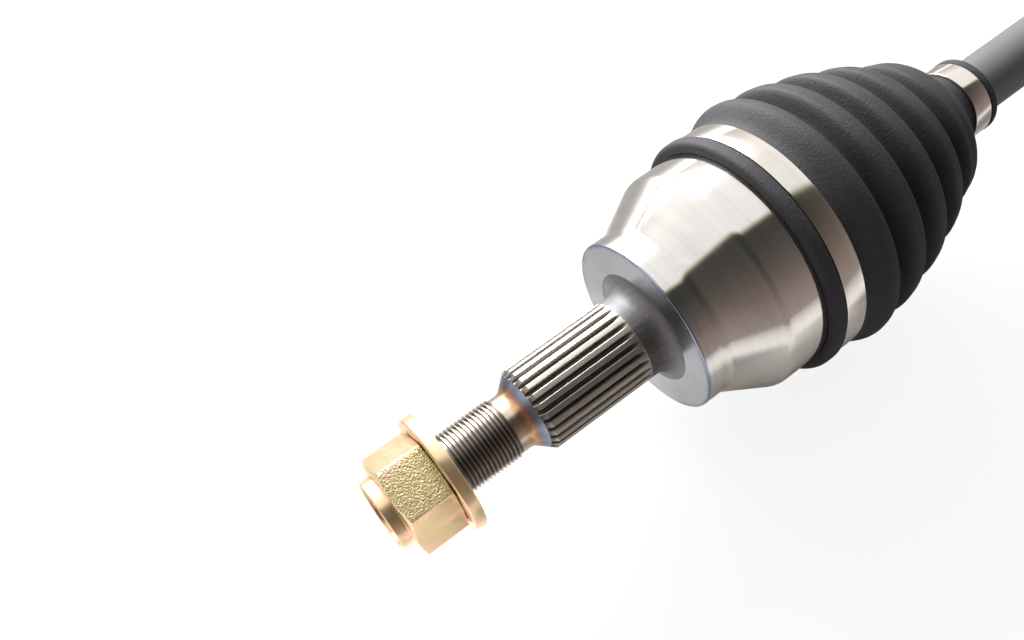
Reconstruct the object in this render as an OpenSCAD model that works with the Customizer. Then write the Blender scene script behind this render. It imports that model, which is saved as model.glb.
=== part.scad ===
// Drive shaft with a fixed ball joint at the wheel end and a sliding tripod joint at the gearbox end.
// X runs along the shaft towards the gearbox and Z points up.
// The origin is on the axis, on the shoulder that seats against the wheel hub.

/* [Hub stub] */
// Diameter of the thread for the hub nut
thread_d = 22; // [20:0.5:24]
// Length of the thread, from the end of the stub
thread_len = 47; // [44:1:52]
// Diameter of the plain neck between thread and splines
neck_d = 20.4; // [18:0.2:21]
// Length of the plain neck
neck_len = 4.5; // [3:0.5:8]
// Length of the flare from the neck up to the splines
flare_len = 6; // [4:0.5:9]
// Outer diameter of the hub splines
spline_d = 31; // [28:0.5:34]
// Length of the hub splines with their run-outs
spline_len = 39.5; // [34:0.5:46]
// Number of hub splines
spline_count = 26; // [22:1:30]
// Depth of a hub spline groove
spline_depth = 1.7; // [1.2:0.1:2]
// Width of a hub spline groove at its bottom
spline_floor = 1.3; // [1:0.1:1.5]
// Width of a hub spline groove at the outer diameter
spline_mouth = 2.2; // [1.8:0.1:2.4]
// Radius of the cutter that leaves the groove run-outs
hob_r = 26; // [18:1:34]
// Plain length between the splines and the shoulder
shoulder_land = 9; // [7.5:0.5:12]
// Radius of the fillet between stub and shoulder
root_fillet = 6; // [3:0.5:7]

/* [Outer race bell] */
// Diameter of the shoulder disc
shoulder_d = 66.2; // [62:0.2:68]
// Thickness of the shoulder disc
shoulder_w = 8; // [6:0.5:9]
// Largest outer diameter of the bell
bell_d = 86; // [85:0.5:90]
// Distance from the shoulder to the bell's full diameter
bell_cone_end = 27; // [25:0.5:30]
// Distance from the shoulder to the bell's open end
bell_len = 58; // [57:0.5:60]
// Depth of the groove that seats the boot
seat_depth = 0.8; // [0.4:0.1:1.2]
// Width of the groove that seats the boot
seat_w = 10.2; // [8:0.2:11]
// Diameter of the bell's open mouth
mouth_d = 77.8; // [76:0.2:79]

/* [Ball joint] */
// Distance from the shoulder to the centre of the ball joint
joint_x = 38; // [37.5:0.1:38.5]
// Radius of the circle on which the ball centres lie
ball_circle_r = 29; // [28.5:0.1:29.5]
// Diameter of a ball
ball_d = 15.88; // [15:0.05:16.2]
// Room round a ball in its track
track_gap = 0.16; // [0.1:0.02:0.3]
// Half the sideways room that a ball needs as the joint bends
track_creep = 1.1; // [1.08:0.02:1.3]
// Radius of the ball cage outside
cage_r = 34.2; // [33.6:0.1:34.6]
// Thickness of the ball cage
cage_t = 8.8; // [8:0.1:9.4]
// Width of the ball cage along the shaft
cage_w = 26; // [24:0.5:28]
// Length of a cage window round the cage
window_len = 20; // [18:0.5:21]
// Room between the cage and the races
cage_gap = 0.3; // [0.2:0.05:0.5]
// Width of the inner race along the shaft
race_w = 24; // [22:0.5:25]
// Depth of the bell's hollow behind the joint centre
hollow_depth = 29; // [27:0.5:30]
// Reach of the bell's spherical land in front of the joint centre
land_reach = 13; // [11:0.5:13.5]

/* [Shaft bar] */
// Diameter of the bar between the joints
bar_d = 22; // [20:0.5:23]
// Distance between the centres of the two joints
joint_distance = 380; // [340:5:520]
// Diameter of the bar end in the inner race
race_bore_d = 24; // [23:0.5:25]
// Diameter of the bar end in the tripod spider
spider_bore_d = 23.2; // [22.5:0.1:24]
// Diameter of the shoulder that stops the inner race
stop_d = 27; // [26:0.5:28]
// Length of the shoulder that stops the inner race
stop_w = 2.5; // [2:0.5:4]
// Thickness of the retaining rings on the bar ends
ring_t = 1.2; // [1:0.1:1.5]
// Depth of the grooves for the retaining rings
ring_depth = 1; // [0.8:0.1:1.4]
// Height of a retaining ring above its groove floor
ring_h = 2.2; // [1.8:0.1:2.8]

/* [Hub nut] */
// Width of the nut across its flats
nut_af = 32; // [30:0.5:34]
// Height of the hexagon
nut_h = 15; // [12:0.5:17]
// Diameter of the staking collar
collar_d = 25.4; // [24.6:0.2:27]
// Height of the staking collar
collar_h = 6.4; // [4:0.2:8]
// Wall of the staking collar
collar_wall = 1.3; // [1:0.1:1.5]
// Diameter of the captive washer
washer_d = 42.8; // [38:0.2:46]
// Thickness of the captive washer
washer_t = 4.4; // [3:0.2:6]
// Distance from the thread's inner end to the washer
washer_stand = 23; // [19:0.5:25]
// Turn of the hexagon about the shaft
nut_turn = 38; // [0:1:60]

/* [Outboard boot] */
// Radius of the first boot fold
fold_r = 49.4; // [48.4:0.2:51]
// Straight part of the fall from one fold to the next
fold_fall = 1.5; // [1:0.1:2]
// Growing part of the fall from one fold to the next
fold_curve = 0.85; // [0.6:0.05:1]
// Depth of a fold
fold_depth = 7; // [4:0.5:8]
// Distance from fold to fold
fold_pitch = 15.4; // [14:0.2:17]
// Number of folds
fold_count = 5; // [4:1:5]
// Distance from the boot's lip to the first fold
fold_start = 24; // [22:0.5:26]
// Length of the tail behind the last fold
tail_len = 20; // [16:0.5:24]
// Wall of the boot
boot_wall = 2.4; // [1.8:0.1:2.8]
// Radial height of the lip bead
lip_h = 3.8; // [3:0.1:4.5]
// Width of the lip bead
lip_w = 5.2; // [4:0.2:6]
// Wall of the boot under the large clamp
collar_t = 2.8; // [2.2:0.1:3.2]
// Wall of the boot under the small clamp
small_t = 2.8; // [2:0.1:3.2]
// Length of the boot under the small clamp
small_w = 9; // [8.6:0.2:12]
// Radial height of the bead at the small end
bead_h = 4; // [3.2:0.1:5]
// Width of the bead at the small end
bead_w = 3; // [2:0.2:4]

/* [Boot clamps] */
// Thickness of a clamp band
band_t = 1; // [0.7:0.1:1.4]
// Width of the outboard large clamp
big_band_w = 8.6; // [7:0.2:8.8]
// Width of the other clamps
band_w = 8; // [6:0.2:8.4]

/* [Tripod joint] */
// Radius at which the roller centres lie
roller_circle_r = 21; // [20.6:0.1:21.4]
// Diameter of a roller over its rounded tread
roller_d = 30; // [29.4:0.1:30.2]
// Width of a roller
roller_w = 10.5; // [9.5:0.1:10.7]
// Diameter of a trunnion
trunnion_d = 15.2; // [14:0.1:15.6]
// Distance from the axis to a trunnion's tip
trunnion_tip = 28.2; // [28:0.1:28.3]
// Diameter of a needle
needle_d = 2.2; // [2:0.05:2.25]
// Number of needles in a roller
needle_count = 24; // [20:1:24]
// Room between needles, trunnion and roller
needle_gap = 0.05; // [0.02:0.01:0.1]
// Diameter of the spider's hub
spider_d = 30; // [29:0.5:31]
// Length of the spider's hub
spider_w = 22; // [20:0.5:24]
// Thickness of the washer that keeps a roller on
keeper_t = 1; // [0.8:0.1:1]

/* [Tripod housing] */
// Outer diameter of the housing
housing_d = 75; // [74:0.5:79]
// Room between a roller and its track
roller_gap = 0.6; // [0.56:0.02:0.7]
// Reach of a track from the axis
track_reach = 29.6; // [29.5:0.1:30]
// Diameter of the bore between the tracks
housing_bore_d = 40; // [38:0.5:41]
// Length of the tracks on each side of the joint centre
track_half = 36; // [36:0.5:38]
// Length of the housing's rim in front of the tracks
rim_len = 2.5; // [2:0.5:4]
// Thickness of the housing's closed end
floor_t = 7; // [5:0.5:9]
// Diameter of the boss behind the housing
boss_d = 40; // [38:0.5:42]
// Length of the boss behind the housing
boss_len = 9; // [8:0.5:12]
// Diameter of the ground land for the gearbox seal
seal_land_d = 35; // [33:0.5:36]
// Length of the ground land for the gearbox seal
seal_land_len = 26; // [20:1:34]
// Outer diameter of the gearbox splines
gear_spline_d = 27.2; // [26:0.2:29]
// Length of the gearbox splines from the shaft's end
gear_spline_len = 34; // [28:1:40]
// Number of gearbox splines
gear_spline_count = 27; // [22:1:28]
// Diameter of the wire of the gearbox retaining ring
wire_d = 2; // [1.6:0.1:2.2]

/* [Inboard boot] */
// Radius of the first fold of the inboard boot
in_fold_r = 38.6; // [38:0.2:40]
// Straight part of the fall from one fold to the next
in_fold_fall = 1.2; // [0.8:0.1:1.5]
// Growing part of the fall from one fold to the next
in_fold_curve = 0.55; // [0.4:0.05:0.65]
// Depth of a fold of the inboard boot
in_fold_depth = 5; // [3:0.5:6]
// Distance from fold to fold of the inboard boot
in_fold_pitch = 11; // [10:0.2:13]
// Distance from the inboard boot's lip to its first fold
in_fold_start = 26; // [25:0.5:28]
// Length of the tail behind the last fold of the inboard boot
in_tail_len = 16; // [14:0.5:20]

/* [Dust shield] */
// Outer diameter of the dust shield
shield_d = 57; // [50:0.5:64]
// Sheet thickness of the dust shield
shield_t = 1.3; // [1:0.1:1.6]
// Length of the dust shield's sleeve
shield_sleeve = 6; // [4:0.5:7]

/* [Hidden] */
fine = 128;
medium = 64;
seat_fit = 0.05;
rubber_fit = 0.1;
chamfer = 0.8;
ball_count = 6;
trunnion_count = 3;

// Stations of the hub stub, counted from the shoulder
thread_r = thread_d / 2;
neck_r = neck_d / 2;
spline_r = spline_d / 2;
spline_front = -(shoulder_land + spline_len);
flare_front = spline_front - flare_len;
thread_back = flare_front - neck_len;
stub_end = thread_back - thread_len;
centre_hole_r = 3.4;
centre_hole_depth = 6;

// Bell and ball joint
shoulder_r = shoulder_d / 2;
bell_r = bell_d / 2;
seat_r = bell_r - seat_depth;
seat_front = bell_len - seat_w;
mouth_r = mouth_d / 2;
ball_r = ball_d / 2;
track_r = ball_r + track_gap;
race_sphere_r = cage_r - cage_t - cage_gap;
hollow_r = cage_r + cage_gap;
land_r = sqrt(hollow_r * hollow_r - land_reach * land_reach) - 0.05;
track_sweep = 47;

// Shaft bar
bar_r = bar_d / 2;
race_bore_r = race_bore_d / 2;
spider_bore_r = spider_bore_d / 2;
race_front = joint_x - race_w / 2;
race_back = joint_x + race_w / 2;
tripod_x = joint_x + joint_distance;
spider_front = tripod_x - spider_w / 2;
spider_back = tripod_x + spider_w / 2;
ring_room = 0.1;
bar_overhang = 1.4;
swell_len = 10;
bar_front = race_front - ring_room - ring_t - bar_overhang;
bar_back = spider_back + ring_room + ring_t + bar_overhang;

// Hub nut
washer_face = thread_back - washer_stand;
washer_back = washer_face - washer_t;
washer_gap = 0.2;
nut_face = washer_back - washer_gap;
nut_top = nut_face - nut_h;
collar_top = nut_top - collar_h;

// Boots and clamps
lip_front = seat_front - lip_w;
boot_collar_r = seat_r + rubber_fit + collar_t;
fold_last_x = lip_front + fold_start + fold_pitch * (fold_count - 1);
small_front = fold_last_x + tail_len;
small_back = small_front + small_w;
small_collar_r = bar_r + rubber_fit + small_t;
in_fold_count = 5;
housing_r = housing_d / 2;
mouth_x = tripod_x - track_half - rim_len;
in_seat_r = housing_r - seat_depth;
in_seat_back = mouth_x + seat_w;
in_collar_r = in_seat_r + rubber_fit + collar_t;
in_fold_last_x = in_seat_back + lip_w - in_fold_start - in_fold_pitch * (in_fold_count - 1);
in_small_back = in_fold_last_x - in_tail_len;
in_small_front = in_small_back - small_w;

// Tripod joint
roller_r = roller_d / 2;
trunnion_r = trunnion_d / 2;
needle_r = needle_d / 2;
needle_circle_r = trunnion_r + needle_r + needle_gap;
roller_bore_r = needle_circle_r + needle_r + needle_gap;
roller_inside = roller_circle_r - roller_w / 2;
roller_outside = roller_circle_r + roller_w / 2;
keeper_gap = 0.2;
trunnion_root_r = roller_bore_r - 0.3;
keeper_groove_r = trunnion_r - 0.7;
keeper_r = roller_bore_r + 0.6;

// Tripod housing
housing_bore_r = housing_bore_d / 2;
roller_track_r = roller_r + roller_gap;
track_end = tripod_x + track_half;
housing_back = track_end + floor_t;
boss_r = boss_d / 2;
boss_back = housing_back + boss_len;
seal_land_r = seal_land_d / 2;
seal_land_back = boss_back + seal_land_len;
gear_spline_r = gear_spline_d / 2;
relief_len = 4;
shaft_end = seal_land_back + relief_len + gear_spline_len;
gear_spline_depth = 1.4;
housing_ring_r = 27;
housing_ring_x = tripod_x - track_half + 0.2;
wire_r = wire_d / 2;
wire_stand = 7;
wire_x = shaft_end - wire_stand;
wire_groove_r = gear_spline_r - gear_spline_depth - 0.2;
mouth_cone_gap = 12;
mouth_cone_len = track_half + rim_len - mouth_cone_gap;
mouth_cone_r = 25.8;

// Points that round the corner b between a and c with radius r
function round_corner(a, b, c, r, n = 6) =
    let (
        u = (a - b) / norm(a - b),
        v = (c - b) / norm(c - b),
        half = acos(u * v) / 2,
        first = b + u * r / tan(half),
        last = b + v * r / tan(half),
        middle = b + (u + v) / norm(u + v) * r / sin(half),
        from = atan2(first[1] - middle[1], first[0] - middle[0]),
        to = atan2(last[1] - middle[1], last[0] - middle[0]),
        turn = to - from,
        sweep = turn > 180 ? turn - 360 : (turn < -180 ? turn + 360 : turn)
    )
    [for (i = [0:n]) middle + r * [cos(from + sweep * i / n), sin(from + sweep * i / n)]];

// Radius of fold number i of a boot
function crest_r(first, fall, curve, i) = first - fall * i - curve * i * i;

// Points of the folded wall of a boot, from the collar to the small end, as [radius, distance]
function fold_points(collar_r, collar_end, first, fall, curve, start, pitch, count, depth, end_r, tail) =
    concat(
        [for (t = [0.15:0.17:0.85])
            [collar_r + (first - collar_r) * (1 - cos(180 * t)) / 2, collar_end + (start - collar_end) * t]],
        [for (i = [0:count - 2]) for (k = [0:11])
            let (t = k / 12, dip = pow((1 - cos(360 * t)) / 2, 1.5))
            [crest_r(first, fall, curve, i + t) - depth * dip, start + pitch * (i + t)]],
        [for (t = [0:0.1:1])
            let (top = crest_r(first, fall, curve, count - 1))
            [top + (end_r - top) * (1 - cos(180 * t)) / 2, start + pitch * (count - 1) + tail * t]]
    );

// Lays a shape that was drawn along Z along the shaft
module along_shaft(x = 0) {
    translate([x, 0, 0]) rotate([0, 90, 0]) children();
}

// Turned shape from points given as [radius, place along the shaft]
module turned(points) {
    along_shaft() rotate_extrude($fn = fine) polygon(points);
}

// Repeats a shape round the shaft
module round_shaft(count) {
    for (i = [0:count - 1]) rotate([0, 0, 360 / count * i]) children();
}

// Places a shape that was drawn along Z on trunnion k
module on_trunnion(k) {
    along_shaft(tripod_x) rotate([0, 0, 180 + 360 / trunnion_count * (k - 1)]) rotate([0, 90, 0]) children();
}

// One spline groove, cut from the open end and rising at the far end along the cutter's path,
// which starts a small step above the groove's floor
module spline_groove(outer_r, depth, floor_w, mouth_w, length) {
    lift = 0.6;
    step = 0.05;
    overlap = 3;
    slope = (mouth_w - floor_w) / depth;
    top_w = floor_w + slope * (depth + lift);
    climb = acos(1 - (depth + lift) / hob_r);
    run = hob_r * sin(climb);
    section = [[0, -floor_w / 2], [depth + lift, -top_w / 2], [depth + lift, top_w / 2], [0, floor_w / 2]];
    translate([outer_r - depth, 0, -1])
        linear_extrude(height = length - run + 1)
            polygon(section);
    translate([outer_r - depth + step + hob_r, 0, length - run])
        rotate([90, 0, 0]) rotate([0, 0, 180 - climb])
            rotate_extrude(angle = climb + overlap, $fn = fine)
                polygon([for (p = section) [hob_r - p[0], p[1]]]);
}

// Slot in which a ball rolls, an arc round the joint centre with room for the ball's creep
module ball_track() {
    rotate([90, 0, 0]) rotate([0, 0, -track_sweep])
        rotate_extrude(angle = 2 * track_sweep, $fn = fine) translate([ball_circle_r, 0]) union() {
            translate([0, track_creep]) circle(r = track_r, $fn = medium);
            translate([0, -track_creep]) circle(r = track_r, $fn = medium);
            translate([-track_r, -track_creep]) square([2 * track_r, 2 * track_creep]);
        }
}

// Outer form of the bell and its stub, as one turned outline
module bell_outline() {
    cone_foot = [shoulder_r, shoulder_w + 1];
    cone_top = [bell_r, bell_cone_end];
    turned(concat(
        [[0, stub_end], [thread_r - 1.2, stub_end], [thread_r, stub_end + 1.2]],
        [[thread_r, thread_back - chamfer], [neck_r, thread_back]],
        round_corner([neck_r, thread_back], [neck_r, flare_front], [spline_r, spline_front], 4),
        [[spline_r, spline_front]],
        round_corner([spline_r, spline_front], [spline_r, 0], [shoulder_r, 0], root_fillet, 8),
        [[shoulder_r - chamfer, 0], [shoulder_r, chamfer]],
        round_corner([shoulder_r, 0], cone_foot, cone_top, 7),
        round_corner(cone_foot, cone_top, [bell_r, bell_len], 6),
        [[bell_r, seat_front - 0.4], [seat_r, seat_front], [seat_r, bell_len - chamfer]],
        [[seat_r - chamfer, bell_len], [mouth_r, bell_len]],
        [[land_r, joint_x + land_reach], [0, joint_x + land_reach]]
    ));
}

module outer_race_bell() {
    color("lightsteelblue") difference() {
        bell_outline();
        along_shaft(joint_x) intersection() {
            sphere(r = hollow_r, $fn = fine);
            translate([0, 0, -hollow_depth]) cylinder(r = hollow_r + 1, h = 2 * hollow_r, $fn = medium);
        }
        along_shaft(joint_x) round_shaft(ball_count) ball_track();
        along_shaft(spline_front) round_shaft(spline_count)
            spline_groove(spline_r, spline_depth, spline_floor, spline_mouth, spline_len);
        along_shaft(stub_end - 0.01)
            cylinder(r1 = centre_hole_r, r2 = 0.3, h = centre_hole_depth, $fn = medium);
    }
}

module hub_nut() {
    hex_r = nut_af / 2 / cos(30);
    color("khaki") difference() {
        union() {
            intersection() {
                along_shaft(nut_top) rotate([0, 0, nut_turn]) cylinder(r = hex_r, h = nut_h, $fn = 6);
                turned([
                    [0, nut_top], [nut_af / 2 - 0.4, nut_top], [hex_r + 0.1, nut_top + 1.7],
                    [hex_r + 0.1, nut_face - 0.9], [nut_af / 2, nut_face], [0, nut_face]
                ]);
            }
            turned(concat(
                [[0, collar_top], [collar_d / 2 - collar_wall, collar_top]],
                round_corner(
                    [collar_d / 2 - collar_wall, collar_top], [collar_d / 2, collar_top],
                    [collar_d / 2, nut_top + 1], 1),
                [[collar_d / 2, nut_top + 1], [0, nut_top + 1]]
            ));
        }
        along_shaft(collar_top - 1) cylinder(r = thread_r + seat_fit, h = nut_h + collar_h + 2, $fn = fine);
        along_shaft(collar_top - 1)
            cylinder(r = max(collar_d / 2 - collar_wall, thread_r + 0.2), h = collar_h, $fn = fine);
    }
}

module captive_washer() {
    bore_r = thread_r + 0.35;
    color("khaki") turned(concat(
        [[bore_r, washer_back]],
        round_corner([bore_r, washer_back], [washer_d / 2, washer_back], [washer_d / 2, washer_face], 0.9),
        [[washer_d / 2, washer_face - 0.5], [washer_d / 2 - 0.5, washer_face], [bore_r, washer_face]]
    ));
}

module ball_cage() {
    window_w = ball_d + 0.1;
    color("dimgray") along_shaft(joint_x) difference() {
        sphere(r = cage_r, $fn = fine);
        sphere(r = cage_r - cage_t, $fn = fine);
        for (side = [-1, 1]) translate([0, 0, side * (cage_w / 2 + cage_r)])
            cube(2 * cage_r, center = true);
        round_shaft(ball_count) translate([cage_r - cage_t / 2, 0, 0])
            cube([2 * cage_t, window_len, window_w], center = true);
    }
}

module joint_balls() {
    color("gainsboro") along_shaft(joint_x) round_shaft(ball_count)
        translate([ball_circle_r, 0, 0]) sphere(r = ball_r, $fn = medium);
}

module inner_race() {
    color("silver") along_shaft(joint_x) difference() {
        sphere(r = race_sphere_r, $fn = fine);
        for (side = [-1, 1]) translate([0, 0, side * (race_w / 2 + race_sphere_r)])
            cube(2 * race_sphere_r, center = true);
        round_shaft(ball_count) ball_track();
        translate([0, 0, -race_w]) cylinder(r = race_bore_r + seat_fit, h = 2 * race_w, $fn = fine);
    }
}

// Open ring with a square section, for a groove in the bar
module snap_ring(x, bar_radius) {
    ring_in = bar_radius - ring_depth + seat_fit;
    color("dimgray") along_shaft(x) difference() {
        cylinder(r = ring_in + ring_h, h = ring_t, $fn = medium);
        translate([0, 0, -1]) cylinder(r = ring_in, h = ring_t + 2, $fn = medium);
        translate([0, -1.5, -1]) cube([2 * bar_radius, 3, ring_t + 2]);
    }
}

module race_ring() {
    snap_ring(race_front - ring_room / 2 - ring_t, race_bore_r);
}

module spider_rings() {
    snap_ring(spider_front - ring_room / 2 - ring_t, spider_bore_r);
    snap_ring(spider_back + ring_room / 2, spider_bore_r);
}

// Groove in the bar for a ring that starts at x
function ring_groove(r, x) = [
    [r, x - ring_room / 2], [r - ring_depth, x - ring_room / 2],
    [r - ring_depth, x + ring_t + ring_room / 2], [r, x + ring_t + ring_room / 2]
];

module shaft_bar() {
    r1 = race_bore_r;
    r2 = spider_bore_r;
    color("dimgray") turned(concat(
        [[0, bar_front], [r1 - 0.8, bar_front], [r1, bar_front + 0.8]],
        ring_groove(r1, race_front - ring_room / 2 - ring_t),
        [[r1, race_back + seat_fit], [stop_d / 2, race_back + seat_fit]],
        [[stop_d / 2, race_back + stop_w], [bar_r, race_back + stop_w + 3]],
        [[bar_r, spider_front - swell_len], [r2, spider_front - swell_len + r2 - bar_r]],
        ring_groove(r2, spider_front - ring_room / 2 - ring_t),
        ring_groove(r2, spider_back + ring_room / 2),
        [[r2, bar_back - 0.8], [r2 - 0.8, bar_back], [0, bar_back]]
    ));
}

module outboard_boot() {
    x = lip_front;
    collar_end = lip_w + seat_w;
    outer = fold_points(boot_collar_r, collar_end, fold_r, fold_fall, fold_curve, fold_start, fold_pitch,
        fold_count, fold_depth, small_collar_r, tail_len);
    count = len(outer);
    total = small_back - x;
    lip_r = bell_r + rubber_fit + lip_h;
    bead_r = bar_r + rubber_fit + bead_h;
    inner_seat = seat_r + rubber_fit;
    points = concat(
        [[bell_r + rubber_fit, 0]],
        round_corner([bell_r, 0], [lip_r, 0], [lip_r, lip_w], 1.8),
        round_corner([lip_r, 0], [lip_r, lip_w], [bell_r, lip_w], 0.9, 4),
        [[boot_collar_r, lip_w], [boot_collar_r, collar_end]],
        outer,
        [[small_collar_r, total]],
        round_corner([small_collar_r, total], [bead_r, total], [bead_r, total + bead_w], 0.7, 4),
        round_corner([bead_r, total], [bead_r, total + bead_w], [bar_r, total + bead_w], 0.7, 4),
        [[bar_r + rubber_fit, total + bead_w], [bar_r + rubber_fit, total - small_w]],
        [for (i = [count - 2:-1:4]) [outer[i][0] - boot_wall, outer[i][1]]],
        [[inner_seat, collar_end + 0.3], [inner_seat, lip_w], [bell_r + rubber_fit, lip_w - 0.4]]
    );
    color("darkslategray") turned([for (p = points) [p[0], x + p[1]]]);
}

module inboard_boot() {
    x = in_seat_back + lip_w;
    collar_end = lip_w + seat_w;
    outer = fold_points(in_collar_r, collar_end, in_fold_r, in_fold_fall, in_fold_curve, in_fold_start,
        in_fold_pitch, in_fold_count, in_fold_depth, small_collar_r, in_tail_len);
    count = len(outer);
    total = x - in_small_front;
    lip_r = housing_r + rubber_fit + lip_h;
    bead_r = bar_r + rubber_fit + bead_h;
    inner_seat = in_seat_r + rubber_fit;
    points = concat(
        [[housing_r + rubber_fit, 0]],
        round_corner([housing_r, 0], [lip_r, 0], [lip_r, lip_w], 1.8),
        round_corner([lip_r, 0], [lip_r, lip_w], [housing_r, lip_w], 0.9, 4),
        [[in_collar_r, lip_w], [in_collar_r, collar_end]],
        outer,
        [[small_collar_r, total]],
        round_corner([small_collar_r, total], [bead_r, total], [bead_r, total + bead_w], 0.7, 4),
        round_corner([bead_r, total], [bead_r, total + bead_w], [bar_r, total + bead_w], 0.7, 4),
        [[bar_r + rubber_fit, total + bead_w], [bar_r + rubber_fit, total - small_w]],
        [for (i = [count - 2:-1:4]) [outer[i][0] - boot_wall, outer[i][1]]],
        [[inner_seat, collar_end + 0.3], [inner_seat, lip_w], [housing_r + rubber_fit, lip_w - 0.4]]
    );
    color("darkslategray") turned([for (p = points) [p[0], x - p[1]]]);
}

// Clamp band round a boot
module clamp_band(x, inner_r, width) {
    outer_r = inner_r + band_t;
    edge = 0.25;
    color("gainsboro") turned([
        [inner_r, x], [outer_r - edge, x], [outer_r, x + edge], [outer_r, x + width - edge],
        [outer_r - edge, x + width], [inner_r, x + width]
    ]);
}

module outboard_large_clamp() {
    clamp_band(seat_front + 0.6, boot_collar_r + seat_fit, big_band_w);
}

module outboard_small_clamp() {
    clamp_band(small_back - band_w - 0.3, small_collar_r + seat_fit, band_w);
}

module inboard_large_clamp() {
    clamp_band(mouth_x + (seat_w - band_w) / 2, in_collar_r + seat_fit, band_w);
}

module inboard_small_clamp() {
    clamp_band(in_small_front + 0.3, small_collar_r + seat_fit, band_w);
}

module tripod_spider() {
    hub_r = spider_d / 2;
    keeper_front = roller_outside + keeper_gap;
    keeper_back = keeper_front + keeper_t + 0.1;
    color("silver") difference() {
        union() {
            turned([
                [0, spider_front], [hub_r - chamfer, spider_front], [hub_r, spider_front + chamfer],
                [hub_r, spider_back - chamfer], [hub_r - chamfer, spider_back], [0, spider_back]
            ]);
            for (k = [1:trunnion_count]) on_trunnion(k) {
                cylinder(r = trunnion_root_r, h = roller_inside - 0.25, $fn = medium);
                rotate_extrude($fn = fine) polygon([
                    [0, spider_bore_r], [trunnion_r, spider_bore_r], [trunnion_r, keeper_front],
                    [keeper_groove_r, keeper_front], [keeper_groove_r, keeper_back],
                    [trunnion_r - 0.2, keeper_back], [trunnion_r - 0.8, trunnion_tip], [0, trunnion_tip]
                ]);
            }
        }
        along_shaft(spider_front - 1) cylinder(r = spider_bore_r + seat_fit, h = spider_w + 2, $fn = fine);
    }
}

module roller_keepers() {
    color("dimgray") for (k = [1:trunnion_count]) on_trunnion(k)
        translate([0, 0, roller_outside + keeper_gap + 0.05]) difference() {
            cylinder(r = keeper_r, h = keeper_t, $fn = medium);
            translate([0, 0, -1]) cylinder(r = keeper_groove_r + seat_fit, h = keeper_t + 2, $fn = medium);
            translate([0, -1.5, -1]) cube([2 * keeper_r, 3, keeper_t + 2]);
        }
}

// Roller with a rounded tread on trunnion k
module roller(k) {
    color("gainsboro") on_trunnion(k) translate([0, 0, roller_circle_r]) difference() {
        sphere(r = roller_r, $fn = fine);
        for (side = [-1, 1]) translate([0, 0, side * (roller_w / 2 + roller_r)])
            cube(2 * roller_r, center = true);
        cylinder(r = roller_bore_r, h = 2 * roller_w, center = true, $fn = fine);
    }
}

// Full row of needles between trunnion k and its roller
module needles(k) {
    length = roller_w - 0.5;
    color("lightgray") on_trunnion(k) round_shaft(needle_count)
        translate([needle_circle_r, 0, roller_circle_r - length / 2])
            cylinder(r = needle_r, h = length, $fn = 16);
}

module roller_1() {
    roller(1);
}

module roller_2() {
    roller(2);
}

module roller_3() {
    roller(3);
}

module needles_1() {
    needles(1);
}

module needles_2() {
    needles(2);
}

module needles_3() {
    needles(3);
}

// Section of the hollow in the housing, a bore with three roller tracks
module hollow_section() {
    circle(r = housing_bore_r, $fn = fine);
    for (k = [1:trunnion_count]) rotate([0, 0, 180 + 360 / trunnion_count * (k - 1)]) intersection() {
        translate([roller_circle_r, 0]) circle(r = roller_track_r, $fn = fine);
        translate([0, -roller_track_r]) square([track_reach, 2 * roller_track_r]);
    }
}

module tripod_housing() {
    color("lightsteelblue") difference() {
        turned(concat(
            [[0, mouth_x], [in_seat_r - chamfer, mouth_x], [in_seat_r, mouth_x + chamfer]],
            [[in_seat_r, in_seat_back], [housing_r, in_seat_back + 0.4]],
            round_corner([housing_r, mouth_x], [housing_r, housing_back], [boss_r, housing_back], 7),
            round_corner([housing_r, housing_back], [boss_r, housing_back], [boss_r, boss_back], 1.5, 4),
            [[boss_r, boss_back - chamfer], [boss_r - chamfer, boss_back]],
            [[seal_land_r, boss_back], [seal_land_r, seal_land_back - 1.5], [gear_spline_r, seal_land_back]],
            [[gear_spline_r, shaft_end - 1.5], [gear_spline_r - 1.5, shaft_end], [0, shaft_end]]
        ));
        along_shaft(mouth_x - 1) linear_extrude(height = track_end - mouth_x + 1) hollow_section();
        along_shaft(mouth_x)
            cylinder(r1 = mouth_cone_r, r2 = housing_bore_r - 0.1, h = mouth_cone_len, $fn = fine);
        along_shaft(housing_ring_x - wire_r - 0.1)
            cylinder(r = housing_ring_r + wire_r + 0.1, h = wire_d + 0.2, $fn = fine);
        along_shaft(shaft_end) mirror([0, 0, 1]) round_shaft(gear_spline_count)
            spline_groove(gear_spline_r, gear_spline_depth, spline_floor, spline_mouth, gear_spline_len);
        along_shaft(wire_x - wire_r - 0.1) difference() {
            cylinder(r = gear_spline_r + 1, h = wire_d + 0.2, $fn = fine);
            translate([0, 0, -1]) cylinder(r = wire_groove_r, h = wire_d + 3, $fn = fine);
        }
    }
}

// Open ring of round wire
module wire_ring(x, middle_r) {
    color("dimgray") along_shaft(x) rotate([0, 0, 8])
        rotate_extrude(angle = 344, $fn = fine) translate([middle_r, 0]) circle(r = wire_r, $fn = 32);
}

module housing_ring() {
    wire_ring(housing_ring_x, housing_ring_r);
}

module gearbox_ring() {
    wire_ring(wire_x, wire_groove_r + wire_r + seat_fit);
}

module dust_shield() {
    sleeve_r = boss_r + seat_fit;
    front = housing_back + 2;
    back = front + shield_sleeve;
    color("slategray") turned([
        [sleeve_r, front], [sleeve_r + shield_t, front], [sleeve_r + shield_t, back - shield_t],
        [shield_d / 2, back - shield_t], [shield_d / 2, back], [sleeve_r, back]
    ]);
}

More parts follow.
